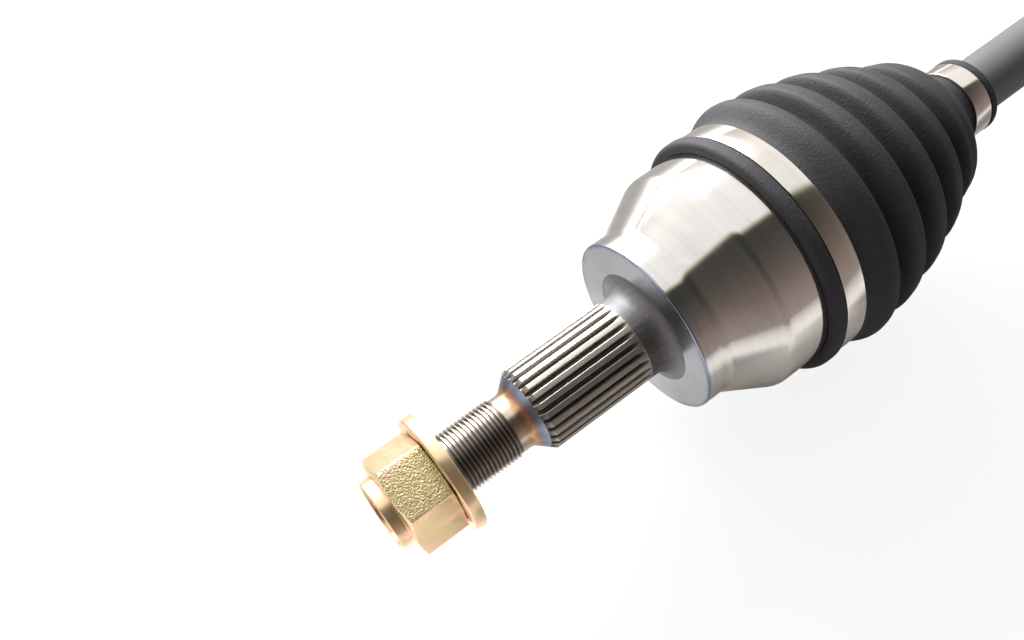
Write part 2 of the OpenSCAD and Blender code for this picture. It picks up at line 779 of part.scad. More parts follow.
outer_race_bell();
hub_nut();
captive_washer();
ball_cage();
joint_balls();
inner_race();
race_ring();
outboard_boot();
outboard_large_clamp();
outboard_small_clamp();
shaft_bar();
tripod_spider();
spider_rings();
roller_keepers();
roller_1();
roller_2();
roller_3();
needles_1();
needles_2();
needles_3();
tripod_housing();
housing_ring();
inboard_boot();
inboard_large_clamp();
inboard_small_clamp();
dust_shield();
gearbox_ring();
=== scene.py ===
"""Drive shaft dressed for its picture: turned and polished joint, rubber boots, zinc nut and steel bands.

The shaft lies along X with the wheel end at negative X. Lengths are in millimetres until a mesh is
finished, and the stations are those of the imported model.
"""

import logging
import math
from collections.abc import Callable, Sequence
from dataclasses import dataclass, field
from enum import Enum

import bmesh
import bpy
from bmesh.types import BMesh, BMVert
from mathutils import Matrix, Vector


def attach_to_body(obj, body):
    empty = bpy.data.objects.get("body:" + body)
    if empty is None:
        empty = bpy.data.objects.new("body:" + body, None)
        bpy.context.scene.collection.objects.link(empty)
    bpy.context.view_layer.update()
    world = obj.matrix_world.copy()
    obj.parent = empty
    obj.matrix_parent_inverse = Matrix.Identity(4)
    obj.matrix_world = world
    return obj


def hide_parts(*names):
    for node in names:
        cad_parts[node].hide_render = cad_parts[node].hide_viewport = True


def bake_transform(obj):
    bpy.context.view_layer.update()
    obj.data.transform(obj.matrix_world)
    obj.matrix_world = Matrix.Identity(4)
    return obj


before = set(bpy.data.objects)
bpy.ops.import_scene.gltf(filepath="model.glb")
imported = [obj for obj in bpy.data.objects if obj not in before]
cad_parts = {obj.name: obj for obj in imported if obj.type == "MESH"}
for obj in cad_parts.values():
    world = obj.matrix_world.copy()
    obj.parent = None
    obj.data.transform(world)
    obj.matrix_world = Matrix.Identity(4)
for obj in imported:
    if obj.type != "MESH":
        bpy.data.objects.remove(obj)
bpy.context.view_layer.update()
MM = 0.001
FULL_TURN = 2 * math.pi
log = logging.getLogger("drive_shaft")

Colour = tuple[float, float, float, float]


# --- node trees -------------------------------------------------------------------------------


class Wire:
    """Output socket of a node, with operators that add Math nodes."""

    def __init__(self, recipe: "Recipe", socket: bpy.types.NodeSocket) -> None:
        """Keeps the socket and the recipe that it belongs to."""
        self.recipe = recipe
        self.socket = socket

    def _math(self, operation: str, first: object, second: object) -> "Wire":
        """Adds one Math node.

        Args:
            operation: The node's operation.
            first: First value or wire.
            second: Second value or wire.

        Returns:
            The node's result.
        """
        return self.recipe.node("ShaderNodeMath", {"operation": operation}, {0: first, 1: second})

    def __add__(self, other: object) -> "Wire":
        """Sum."""
        return self._math("ADD", self, other)

    def __radd__(self, other: object) -> "Wire":
        """Sum with a number in front."""
        return self._math("ADD", other, self)

    def __sub__(self, other: object) -> "Wire":
        """Difference."""
        return self._math("SUBTRACT", self, other)

    def __rsub__(self, other: object) -> "Wire":
        """Difference from a number."""
        return self._math("SUBTRACT", other, self)

    def __mul__(self, other: object) -> "Wire":
        """Product."""
        return self._math("MULTIPLY", self, other)

    def __rmul__(self, other: object) -> "Wire":
        """Product with a number in front."""
        return self._math("MULTIPLY", other, self)

    def __truediv__(self, other: object) -> "Wire":
        """Quotient."""
        return self._math("DIVIDE", self, other)

    def over(self, edge: float, width: float) -> "Wire":
        """Soft step that is 0 below an edge and 1 above it.

        Args:
            edge: Value at the middle of the step.
            width: Width of the step.

        Returns:
            The step's height, from 0 to 1.
        """
        settings = {"interpolation_type": "SMOOTHSTEP"}
        inputs = {"Value": self, "From Min": edge - width / 2, "From Max": edge + width / 2}
        return self.recipe.node("ShaderNodeMapRange", settings, inputs)


class Recipe:
    """Node tree of one material or world, written as expressions."""

    def __init__(self, owner: bpy.types.Material | bpy.types.World) -> None:
        """Empties the owner's node tree.

        Args:
            owner: Material or world that takes the nodes.
        """
        self.owner = owner
        owner.use_nodes = True
        self.tree = owner.node_tree
        self.tree.nodes.clear()

    def node(
        self,
        kind: str,
        settings: dict[str, object] | None = None,
        inputs: dict[int | str, object] | None = None,
        output: int | str = 0,
    ) -> Wire:
        """Adds a node.

        Args:
            kind: Blender's type of the node.
            settings: The node's own settings, and "stops" for the stops of a ramp.
            inputs: Values or wires by the name or number of a socket.
            output: Name or number of the wanted output.

        Returns:
            The wanted output.
        """
        made = self.tree.nodes.new(kind)
        for key, value in (settings or {}).items():
            if key == "stops":
                self._set_stops(made.color_ramp, value)
            else:
                setattr(made, key, value)
        for key, value in (inputs or {}).items():
            if isinstance(value, Wire):
                self.tree.links.new(value.socket, made.inputs[key])
            else:
                made.inputs[key].default_value = value
        return Wire(self, made.outputs[output])

    @staticmethod
    def _set_stops(ramp: bpy.types.ColorRamp, stops: Sequence[tuple[float, Colour]]) -> None:
        """Gives a ramp its stops.

        Args:
            ramp: The ramp.
            stops: Place and colour of each stop.
        """
        while len(ramp.elements) < len(stops):
            ramp.elements.new(1.0)
        for element, (place, colour) in zip(ramp.elements, stops):
            element.position = place
            element.color = colour

    def place(self) -> Wire:
        """Place on the piece, in metres."""
        return self.node("ShaderNodeTexCoord", output="Object")

    def stretched(self, vector: Wire, scale: Sequence[float]) -> Wire:
        """A vector with each axis scaled by its own factor."""
        return self.node("ShaderNodeVectorMath", {"operation": "MULTIPLY"}, {0: vector, 1: tuple(scale)})

    def axis(self, vector: Wire, name: str) -> Wire:
        """One of the three parts of a vector."""
        return self.node("ShaderNodeSeparateXYZ", None, {0: vector}, name)

    def distance_from_shaft(self, vector: Wire) -> Wire:
        """Distance of a place from the shaft's axis, in metres."""
        flat = self.stretched(vector, (0, 1, 1))
        return self.node("ShaderNodeVectorMath", {"operation": "LENGTH"}, {0: flat}, "Value")

    def noise(self, vector: Wire, size: float, detail: float = 3.0, rough: float = 0.55) -> Wire:
        """Cloudy pattern.

        Args:
            vector: Place.
            size: Size of the clouds in millimetres.
            detail: Number of finer layers.
            rough: Share of the finer layers.

        Returns:
            Height of the pattern, round 0.5.
        """
        inputs = {"Vector": vector, "Scale": 1 / (size * MM), "Detail": detail, "Roughness": rough}
        return self.node("ShaderNodeTexNoise", None, inputs, "Fac")

    def mix(self, factor: Wire, first: Wire | Colour, second: Wire | Colour) -> Wire:
        """Blend of two colours."""
        return self.node("ShaderNodeMix", {"data_type": "RGBA"}, {0: factor, 6: first, 7: second}, 2)

    def ramp(self, value: Wire, stops: Sequence[tuple[float, Colour]]) -> Wire:
        """Colour that follows a value through the stops of a ramp."""
        return self.node("ShaderNodeValToRGB", {"stops": stops}, {0: value})

    def bump(self, height: Wire, depth: float, under: Wire | None = None) -> Wire:
        """Surface relief.

        Args:
            height: Height of the relief, from 0 to 1.
            depth: Depth of the relief in millimetres.
            under: Coarser relief that this one lies on.

        Returns:
            The normal.
        """
        inputs: dict[int | str, object] = {"Height": height, "Distance": depth * MM, "Strength": 1.0}
        if under is not None:
            inputs["Normal"] = under
        return self.node("ShaderNodeBump", None, inputs)

    def surface(self, **sockets: object) -> bpy.types.Material:
        """Ends the tree in a Principled BSDF.

        Args:
            **sockets: Values or wires, by socket name in lower case with underscores.

        Returns:
            The finished material.
        """
        titles = {key: key.replace("_", " ").title().replace("Ior", "IOR") for key in sockets}
        named = {titles[key]: value for key, value in sockets.items()}
        shader = self.node("ShaderNodeBsdfPrincipled", None, named)
        self.node_output("ShaderNodeOutputMaterial", shader)
        return self.owner

    def node_output(self, kind: str, shader: Wire) -> None:
        """Links a shader to the output node of the tree."""
        end = self.tree.nodes.new(kind)
        self.tree.links.new(shader.socket, end.inputs["Surface"])


def recipe_for(name: str) -> Recipe:
    """An empty recipe for a new material."""
    return Recipe(bpy.data.materials.new(name))


# --- finishes ---------------------------------------------------------------------------------


@dataclass(frozen=True)
class TurnedSteel:
    """Bright steel from a lathe, with fine rings round the shaft and soft stains.

    Attributes:
        name: Name of the material.
        tint: Colour of the clean metal.
        stain: Colour of the faint stains.
        roughness: Roughness of the clean metal.
        ring_size: Spacing of the turning marks in millimetres.
        ring_depth: Depth of the turning marks in millimetres.
    """

    name: str = "turned_steel"
    tint: Colour = (0.66, 0.645, 0.62, 1)
    stain: Colour = (0.5, 0.47, 0.44, 1)
    roughness: float = 0.07
    ring_size: float = 0.3
    ring_depth: float = 0.0002

    def material(self) -> bpy.types.Material:
        """Builds the material.

        Returns:
            The material.
        """
        r = recipe_for(self.name)
        place = r.place()
        wander = r.noise(place, 30, 2)
        rings = r.noise(r.stretched(place, (1, 0.004, 0.004)), self.ring_size, 2, 0.6)
        stains = r.noise(place, 14, 4, 0.6).over(0.58, 0.24)
        nicks = r.noise(place, 1.6, 2, 0.5).over(0.8, 0.03)
        streaks = r.noise(r.stretched(place, (1, 0.012, 0.012)), self.ring_size * 6, 3, 0.6).over(0.55, 0.3)
        colour = r.mix(stains * 0.3 + streaks * 0.22 + nicks * 0.4, self.tint, self.stain)
        rough = self.roughness + 0.03 * rings + 0.02 * wander + 0.04 * stains + 0.2 * nicks
        relief = r.bump(rings, self.ring_depth)
        return r.surface(base_color=colour, metallic=1.0, roughness=rough, normal=relief)


@dataclass(frozen=True)
class BluedSteel:
    """Satin steel with a blue cast, soft clouds and a darker heat-blued rim.

    Attributes:
        name: Name of the material.
        tint: Colour of the plain metal.
        cloud: Colour of the soft clouds.
        rim: Colour of the rim.
        rim_start: Distance from the shaft's axis where the rim starts, in millimetres.
        rim_width: Width over which the rim's colour comes in, in millimetres.
        turning: Waves of the turning marks on a metre of the radius, in radians.
        roughness: Roughness of the plain metal.
    """

    name: str = "blued_steel"
    tint: Colour = (0.585, 0.61, 0.655, 1)
    cloud: Colour = (0.43, 0.46, 0.51, 1)
    rim: Colour = (0.2, 0.26, 0.36, 1)
    rim_start: float = 31.9
    rim_width: float = 1.3
    turning: float = 9000.0
    roughness: float = 0.18

    def material(self) -> bpy.types.Material:
        """Builds the material.

        Returns:
            The material.
        """
        r = recipe_for(self.name)
        place = r.place()
        clouds = r.noise(place, 13, 4, 0.6).over(0.55, 0.4)
        out = r.distance_from_shaft(place)
        turning = r.node("ShaderNodeMath", {"operation": "SINE"}, {0: out * self.turning})
        grain = r.noise(place, 0.5, 3)
        body = r.mix(clouds * 0.5, self.tint, self.cloud)
        edge = (out + 0.0012 * clouds).over((self.rim_start + 0.6) * MM, self.rim_width * MM)
        colour = r.mix(edge * 0.75, body, self.rim)
        rough = self.roughness + 0.06 * clouds + 0.05 * grain
        relief = r.bump(grain, 0.0025, under=r.bump(turning, 0.0006))
        return r.surface(base_color=colour, metallic=1.0, roughness=rough, normal=relief)


@dataclass(frozen=True)
class HeatTint:
    """Straw, brown and blue colours that heat leaves round the plain neck.

    Attributes:
        name: Name of the material.
        start: Station of the straw end in millimetres.
        end: Station of the grey end in millimetres.
    """

    name: str = "heat_tinted_steel"
    start: float = -59.0
    end: float = -48.0

    def material(self) -> bpy.types.Material:
        """Builds the material.

        Returns:
            The material.
        """
        r = recipe_for(self.name)
        place = r.place()
        along = (r.axis(place, "X") - self.start * MM) / ((self.end - self.start) * MM)
        drift = r.noise(place, 6, 4, 0.6)
        colour = r.ramp(
            along + 0.22 * drift - 0.11,
            [
                (0.0, (0.56, 0.48, 0.4, 1)),
                (0.2, (0.66, 0.52, 0.37, 1)),
                (0.42, (0.56, 0.34, 0.17, 1)),
                (0.56, (0.26, 0.15, 0.12, 1)),
                (0.66, (0.17, 0.18, 0.26, 1)),
                (0.82, (0.23, 0.29, 0.34, 1)),
            ],
        )
        grain = r.noise(r.stretched(place, (1, 0.02, 0.02)), 0.2, 2)
        rough = 0.17 + 0.1 * drift + 0.05 * grain
        return r.surface(base_color=colour, metallic=1.0, roughness=rough, normal=r.bump(grain, 0.002))


@dataclass(frozen=True)
class OiledSteel:
    """Dark oily steel, lighter at the outer edges by wear and a painted highlight, darker in the deep
    places by an oily film and painted shade, and darker towards the top by painted shade.

    Attributes:
        name: Name of the material.
        oil_and_shade: Colour in the deep places: an oily film with painted shade.
        worn_and_highlit: Colour of the outer edges: wear with a painted highlight.
        deep: Radius of the deep places in millimetres.
        high: Radius of the outer edges in millimetres.
        top_shade_height: Height above the shaft's axis at the middle of the painted shade that darkens the
            top, in millimetres.
        top_shade_width: Height over which that painted shade comes in, in millimetres.
        roughness: Roughness of the cleanest places.
    """

    name: str = "oiled_steel"
    oil_and_shade: Colour = (0.11, 0.1, 0.09, 1)
    worn_and_highlit: Colour = (0.46, 0.425, 0.385, 1)
    deep: float = 13.8
    high: float = 15.5
    top_shade_height: float = 7.0
    top_shade_width: float = 14.0
    roughness: float = 0.36

    def material(self) -> bpy.types.Material:
        """Builds the material.

        Returns:
            The material.
        """
        r = recipe_for(self.name)
        place = r.place()
        # Painted highlight and shade, along with wear and an oily film: the colour is lighter towards the
        # outer edges and darker in the deep places.
        rise = (r.distance_from_shaft(place) - self.deep * MM) / ((self.high - self.deep) * MM)
        smear = r.noise(r.stretched(place, (0.25, 1, 1)), 1.6, 5, 0.65)
        # Painted shade: towards the top the lighter share of the colour is halved, so the top renders
        # darker.
        painted_top_shade = 1.0 - 0.5 * r.axis(place, "Z").over(self.top_shade_height * MM, self.top_shade_width * MM)
        colour = r.mix((rise * 0.9 + smear - 0.45).over(0.5, 1.0) * painted_top_shade, self.oil_and_shade, self.worn_and_highlit)
        rough = self.roughness + 0.24 * smear
        return r.surface(base_color=colour, metallic=0.92, roughness=rough, normal=r.bump(smear, 0.012))


@dataclass(frozen=True)
class ThreadSteel:
    """Rolled thread of grey steel, darker in its roots by an oily film and painted shade, lighter on its
    crests by wear and a painted highlight.

    Attributes:
        name: Name of the material.
        oil_and_shade: Colour in the roots: an oily film with painted shade.
        worn_and_highlit: Colour of the crests: wear with a painted highlight.
        root: Radius of the roots in millimetres.
        crest: Radius of the crests in millimetres.
    """

    name: str = "thread_steel"
    oil_and_shade: Colour = (0.125, 0.11, 0.098, 1)
    worn_and_highlit: Colour = (0.47, 0.415, 0.355, 1)
    root: float = 10.08
    crest: float = 11.0

    def material(self) -> bpy.types.Material:
        """Builds the material.

        Returns:
            The material.
        """
        r = recipe_for(self.name)
        place = r.place()
        rise = (r.distance_from_shaft(place) - self.root * MM) / ((self.crest - self.root) * MM)
        smear = r.noise(place, 4, 4)
        # Painted shade and highlight, along with an oily film and wear: darker towards the roots, lighter
        # towards the crests.
        colour = r.mix(rise.over(0.5, 0.9), self.oil_and_shade, self.worn_and_highlit)
        rough = 0.26 + 0.16 * smear
        return r.surface(base_color=colour, metallic=1.0, roughness=rough)


class Zinc(Enum):
    """The looks of the nut's zinc: on turned faces, on the hexagon, and on its one rough face."""

    TURNED = "turned"
    PRESSED = "pressed"
    ROUGH = "rough"


@dataclass(frozen=True)
class YellowZinc:
    """Yellow passivated zinc with drifting gold, green and pink.

    Attributes:
        look: Which of the looks.
        gold: Main colour.
        olive: Greenish drift.
        peach: Pinkish drift.
        metal: Share of clear metal under the film.
        cell: Size of the rough look's cells in millimetres.
    """

    look: Zinc = Zinc.TURNED
    gold: Colour = (0.85, 0.64, 0.37, 1)
    olive: Colour = (0.68, 0.58, 0.31, 1)
    peach: Colour = (0.93, 0.61, 0.44, 1)
    metal: float = 0.82
    cell: float = 0.62

    def material(self) -> bpy.types.Material:
        """Builds the material.

        Returns:
            The material.
        """
        r = recipe_for(f"yellow_zinc_{self.look.value}")
        place = r.place()
        drift = r.noise(place, 9, 3)
        film = r.noise(place, 5, 2, 0.4)
        warm = r.mix(drift.over(0.48, 0.3), self.gold, self.peach)
        colour = r.mix(film.over(0.6, 0.26), warm, self.olive)
        grain = r.noise(place, 0.3, 3)
        if self.look is Zinc.ROUGH:
            # Painted sparkle on the rough look: dark specks of painted shade and light specks of painted
            # highlight, over the zinc's olive drift.
            dark_olive, painted_speck_shade, painted_glint = (0.6, 0.51, 0.26, 1), (0.4, 0.34, 0.16, 1), (1.0, 0.86, 0.56, 1)
            painted_sparkle = r.noise(place, 0.7, 2, 0.5)
            colour = r.mix(film.over(0.38, 0.3) * 0.85, warm, dark_olive)
            colour = r.mix(0.5 - 0.5 * painted_sparkle.over(0.44, 0.12), colour, painted_speck_shade)
            colour = r.mix(painted_sparkle.over(0.64, 0.08) * 0.45, colour, painted_glint)
            cells = r.node(
                "ShaderNodeTexVoronoi",
                {"feature": "F1"},
                {"Vector": place, "Scale": 1 / (self.cell * MM), "Randomness": 1.0},
                "Distance",
            )
            pits = r.noise(place, 0.8, 3, 0.6)
            rough = 0.22 + 0.14 * pits
            relief = r.bump(grain, 0.012, under=r.bump(pits, 0.24, under=r.bump(cells, 0.12)))
        else:
            rough = 0.2 + 0.12 * drift
            relief = r.bump(grain, 0.003)
        return r.surface(base_color=colour, metallic=self.metal, roughness=rough, normal=relief)


@dataclass(frozen=True)
class GrainedRubber:
    """Matte black rubber with a fine moulded grain and a little dust.

    Attributes:
        name: Name of the material.
        black: Colour of the rubber.
        dust: Colour of the dust.
        grain_size: Size of the grain in millimetres.
    """

    name: str = "boot_rubber"
    black: Colour = (0.0265, 0.0268, 0.0305, 1)
    dust: Colour = (0.075, 0.075, 0.08, 1)
    grain_size: float = 0.95

    def material(self) -> bpy.types.Material:
        """Builds the material.

        Returns:
            The material.
        """
        r = recipe_for(self.name)
        place = r.place()
        grain = r.noise(place, self.grain_size, 3, 0.6)
        bloom = r.noise(place, 16, 4, 0.6)
        specks = r.noise(place, 0.9, 1, 0.4).over(0.76, 0.04)
        colour = r.mix(bloom.over(0.55, 0.5) * 0.2 + specks * 0.7, self.black, self.dust)
        rough = 0.58 + 0.12 * bloom + 0.1 * grain
        relief = r.bump(grain, 0.24, under=r.bump(bloom, 0.15))
        return r.surface(base_color=colour, roughness=rough, normal=relief, specular_ior_level=0.2)


@dataclass(frozen=True)
class SatinPaint:
    """Dark grey satin coat of the bar.

    Attributes:
        name: Name of the material.
        colour: Colour of the coat.
        roughness: Roughness of the coat.
    """

    name: str = "bar_paint"
    colour: Colour = (0.11, 0.112, 0.118, 1)
    roughness: float = 0.42

    def material(self) -> bpy.types.Material:
        """Builds the material.

        Returns:
            The material.
        """
        r = recipe_for(self.name)
        place = r.place()
        peel = r.noise(place, 1.4, 2)
        cloud = r.noise(place, 20, 3)
        darker = tuple(0.75 * c for c in self.colour[:3]) + (1,)
        colour = r.mix(cloud, self.colour, darker)
        rough = self.roughness + 0.08 * cloud
        return r.surface(base_color=colour, metallic=0.3, roughness=rough, normal=r.bump(peel, 0.01))


@dataclass(frozen=True)
class PlainSteel:
    """Steel of the inner pieces, ground, machined or phosphated.

    Attributes:
        name: Name of the material.
        colour: Colour of the metal.
        roughness: Roughness of the metal.
        grain: Depth of the grain in millimetres.
    """

    name: str
    colour: Colour
    roughness: float
    grain: float = 0.003

    def material(self) -> bpy.types.Material:
        """Builds the material.

        Returns:
            The material.
        """
        r = recipe_for(self.name)
        place = r.place()
        grain = r.noise(place, 0.6, 3)
        cloud = r.noise(place, 12, 4, 0.6)
        darker = tuple(0.7 * c for c in self.colour[:3]) + (1,)
        colour = r.mix(cloud.over(0.5, 0.4), self.colour, darker)
        rough = self.roughness + 0.12 * cloud
        return r.surface(base_color=colour, metallic=1.0, roughness=rough, normal=r.bump(grain, self.grain))


# --- mesh making ------------------------------------------------------------------------------


@dataclass(frozen=True)
class Corner:
    """Corner of a turned piece's side view.

    Attributes:
        x: Place along the shaft in millimetres.
        r: Distance from the shaft's axis in millimetres.
        fillet: Radius that rounds the corner, in millimetres.
        finish: Number of the finish from here to the next corner.
    """

    x: float
    r: float
    fillet: float = 0.0
    finish: int = 0


def rounded(corners: Sequence[Corner], steps: int = 6) -> list[Corner]:
    """Rounds the corners of a closed side view.

    Args:
        corners: The corners in order.
        steps: Steps of each rounding.

    Returns:
        The corners with each fillet turned into short steps.
    """
    result: list[Corner] = []
    for i, corner in enumerate(corners):
        before, after = corners[i - 1], corners[(i + 1) % len(corners)]
        if corner.fillet == 0:
            result.append(corner)
            continue
        here = Vector((corner.x, corner.r))
        u = (Vector((before.x, before.r)) - here).normalized()
        v = (Vector((after.x, after.r)) - here).normalized()
        half = u.angle(v) / 2
        middle = here + (u + v).normalized() * (corner.fillet / math.sin(half))
        start = here + u * (corner.fillet / math.tan(half)) - middle
        sweep = start.angle_signed(here + v * (corner.fillet / math.tan(half)) - middle)
        for k in range(steps + 1):
            arm = start.copy()
            arm.rotate(Matrix.Rotation(-sweep * k / steps, 2))
            finish = corner.finish if k == steps else before.finish
            result.append(Corner(middle.x + arm.x, middle.y + arm.y, 0.0, finish))
    return result


def finished(
    name: str,
    shape: BMesh,
    finishes: Sequence[bpy.types.Material],
    crease: float = 32.0,
) -> bpy.types.Object:
    """Turns a mesh in millimetres into an object in metres.

    Args:
        name: Name of the piece.
        shape: The mesh, which is freed.
        finishes: Materials, in the order of the faces' numbers.
        crease: Angle in degrees above which an edge stays sharp.

    Returns:
        The piece.
    """
    bmesh.ops.remove_doubles(shape, verts=shape.verts, dist=1e-4)
    bmesh.ops.dissolve_degenerate(shape, edges=shape.edges, dist=1e-5)
    bmesh.ops.recalc_face_normals(shape, faces=shape.faces)
    bmesh.ops.scale(shape, vec=(MM, MM, MM), verts=shape.verts)
    for face in shape.faces:
        face.smooth = True
    mesh = bpy.data.meshes.new(name)
    shape.to_mesh(mesh)
    shape.free()
    mesh.set_sharp_from_angle(angle=math.radians(crease))
    for material in finishes:
        mesh.materials.append(material)
    piece = bpy.data.objects.new(name, mesh)
    bpy.context.scene.collection.objects.link(piece)
    log.info("%s: %d faces", name, len(mesh.polygons))
    return piece


def spin_outline(shape: BMesh, corners: Sequence[Corner], steps: int = 192) -> None:
    """Turns a closed side view round the shaft.

    Args:
        shape: Mesh that takes the turned faces.
        corners: The side view's corners, rounded already.
        steps: Steps of the turn.
    """
    number = shape.verts.layers.int.new("corner")
    verts = [shape.verts.new((corner.x, 0, corner.r)) for corner in corners]
    for i, vertex in enumerate(verts):
        vertex[number] = i
    pairs = [(i, (i + 1) % len(corners)) for i in range(len(corners))]
    pairs = [(i, k) for i, k in pairs if corners[i].r > 1e-6 or corners[k].r > 1e-6]
    edges = [shape.edges.new((verts[i], verts[k])) for i, k in pairs]
    bmesh.ops.spin(
        shape,
        geom=[*verts, *edges],
        cent=(0, 0, 0),
        axis=(1, 0, 0),
        dvec=(0, 0, 0),
        angle=FULL_TURN,
        steps=steps,
        use_merge=True,
    )
    for face in shape.faces:
        low, high = min(v[number] for v in face.verts), max(v[number] for v in face.verts)
        face.material_index = corners[low if high == low + 1 else high].finish


def turned(
    name: str,
    corners: Sequence[Corner],
    finishes: Sequence[bpy.types.Material],
    steps: int = 192,
    fillet_steps: int = 6,
) -> bpy.types.Object:
    """Makes a turned piece from its closed side view.

    Args:
        name: Name of the piece.
        corners: The side view's corners.
        finishes: Materials, in the order of the corners' numbers.
        steps: Steps of the turn.
        fillet_steps: Steps of each rounded corner.

    Returns:
        The piece.
    """
    shape = bmesh.new()
    spin_outline(shape, rounded(corners, fillet_steps), steps)
    return finished(name, shape, finishes)


def around(vertex: BMVert) -> tuple[float, float]:
    """Distance of a vertex from the shaft's axis and its angle round it."""
    return math.hypot(vertex.co.y, vertex.co.z), math.atan2(vertex.co.y, vertex.co.z)


def set_radius(vertex: BMVert, radius: float) -> None:
    """Moves a vertex straight out from the shaft's axis.

    Args:
        vertex: The vertex, which lies off the axis.
        radius: Its new distance.
    """
    old, _ = around(vertex)
    vertex.co.y *= radius / old
    vertex.co.z *= radius / old


def attach(piece: bpy.types.Object, body: str, slot: str, *nodes: str) -> bpy.types.Object:
    """Lets a piece ride on a body in place of its CAD nodes.

    Args:
        piece: The piece.
        body: Name of the body.
        slot: Not used.
        *nodes: CAD nodes that the piece stands for.

    Returns:
        The piece.
    """
    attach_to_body(piece, body)
    if nodes:
        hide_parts(*nodes)
    return piece


# --- finishes of this shaft -------------------------------------------------------------------


@dataclass
class Palette:
    """All materials of the shaft, each made once."""

    polished: bpy.types.Material = field(default_factory=lambda: TurnedSteel().material())
    blued: bpy.types.Material = field(default_factory=lambda: BluedSteel().material())
    tinted: bpy.types.Material = field(default_factory=lambda: HeatTint().material())
    oiled: bpy.types.Material = field(default_factory=lambda: OiledSteel().material())
    land: bpy.types.Material = field(
        default_factory=lambda: OiledSteel(
            "oiled_land", (0.1, 0.099, 0.101, 1), (0.34, 0.34, 0.345, 1), 14.0, 20.0, roughness=0.46
        ).material()
    )
    thread: bpy.types.Material = field(default_factory=lambda: ThreadSteel().material())
    zinc: bpy.types.Material = field(default_factory=lambda: YellowZinc().material())
    pressed_zinc: bpy.types.Material = field(
        default_factory=lambda: YellowZinc(Zinc.PRESSED, (0.8, 0.6, 0.34, 1), metal=0.84).material()
    )
    rough_zinc: bpy.types.Material = field(
        default_factory=lambda: YellowZinc(Zinc.ROUGH, metal=0.7).material()
    )
    rubber: bpy.types.Material = field(default_factory=lambda: GrainedRubber().material())
    band: bpy.types.Material = field(
        default_factory=lambda: TurnedSteel(
            "band_steel", (0.65, 0.62, 0.58, 1), (0.53, 0.49, 0.44, 1), 0.09, 0.4, 0.0005
        ).material()
    )
    paint: bpy.types.Material = field(default_factory=lambda: SatinPaint().material())
    machined: bpy.types.Material = field(
        default_factory=lambda: TurnedSteel(
            "machined_steel", (0.5, 0.49, 0.48, 1), (0.36, 0.35, 0.34, 1), 0.18, 0.4, 0.002
        ).material()
    )
    ground: bpy.types.Material = field(
        default_factory=lambda: TurnedSteel(
            "ground_steel", (0.62, 0.61, 0.6, 1), (0.5, 0.48, 0.46, 1), 0.1, 0.25, 0.0005
        ).material()
    )
    gear_oiled: bpy.types.Material = field(
        default_factory=lambda: OiledSteel("gear_spline_steel", deep=12.2, high=13.6).material()
    )
    dark: bpy.types.Material = field(
        default_factory=lambda: PlainSteel("phosphated_steel", (0.17, 0.17, 0.18, 1), 0.4, 0.01).material()
    )
    bright: bpy.types.Material = field(
        default_factory=lambda: PlainSteel("lapped_steel", (0.72, 0.72, 0.74, 1), 0.08, 0.0005).material()
    )
    sheet: bpy.types.Material = field(
        default_factory=lambda: PlainSteel("pressed_sheet", (0.42, 0.42, 0.41, 1), 0.3, 0.006).material()
    )


# --- wheel end --------------------------------------------------------------------------------


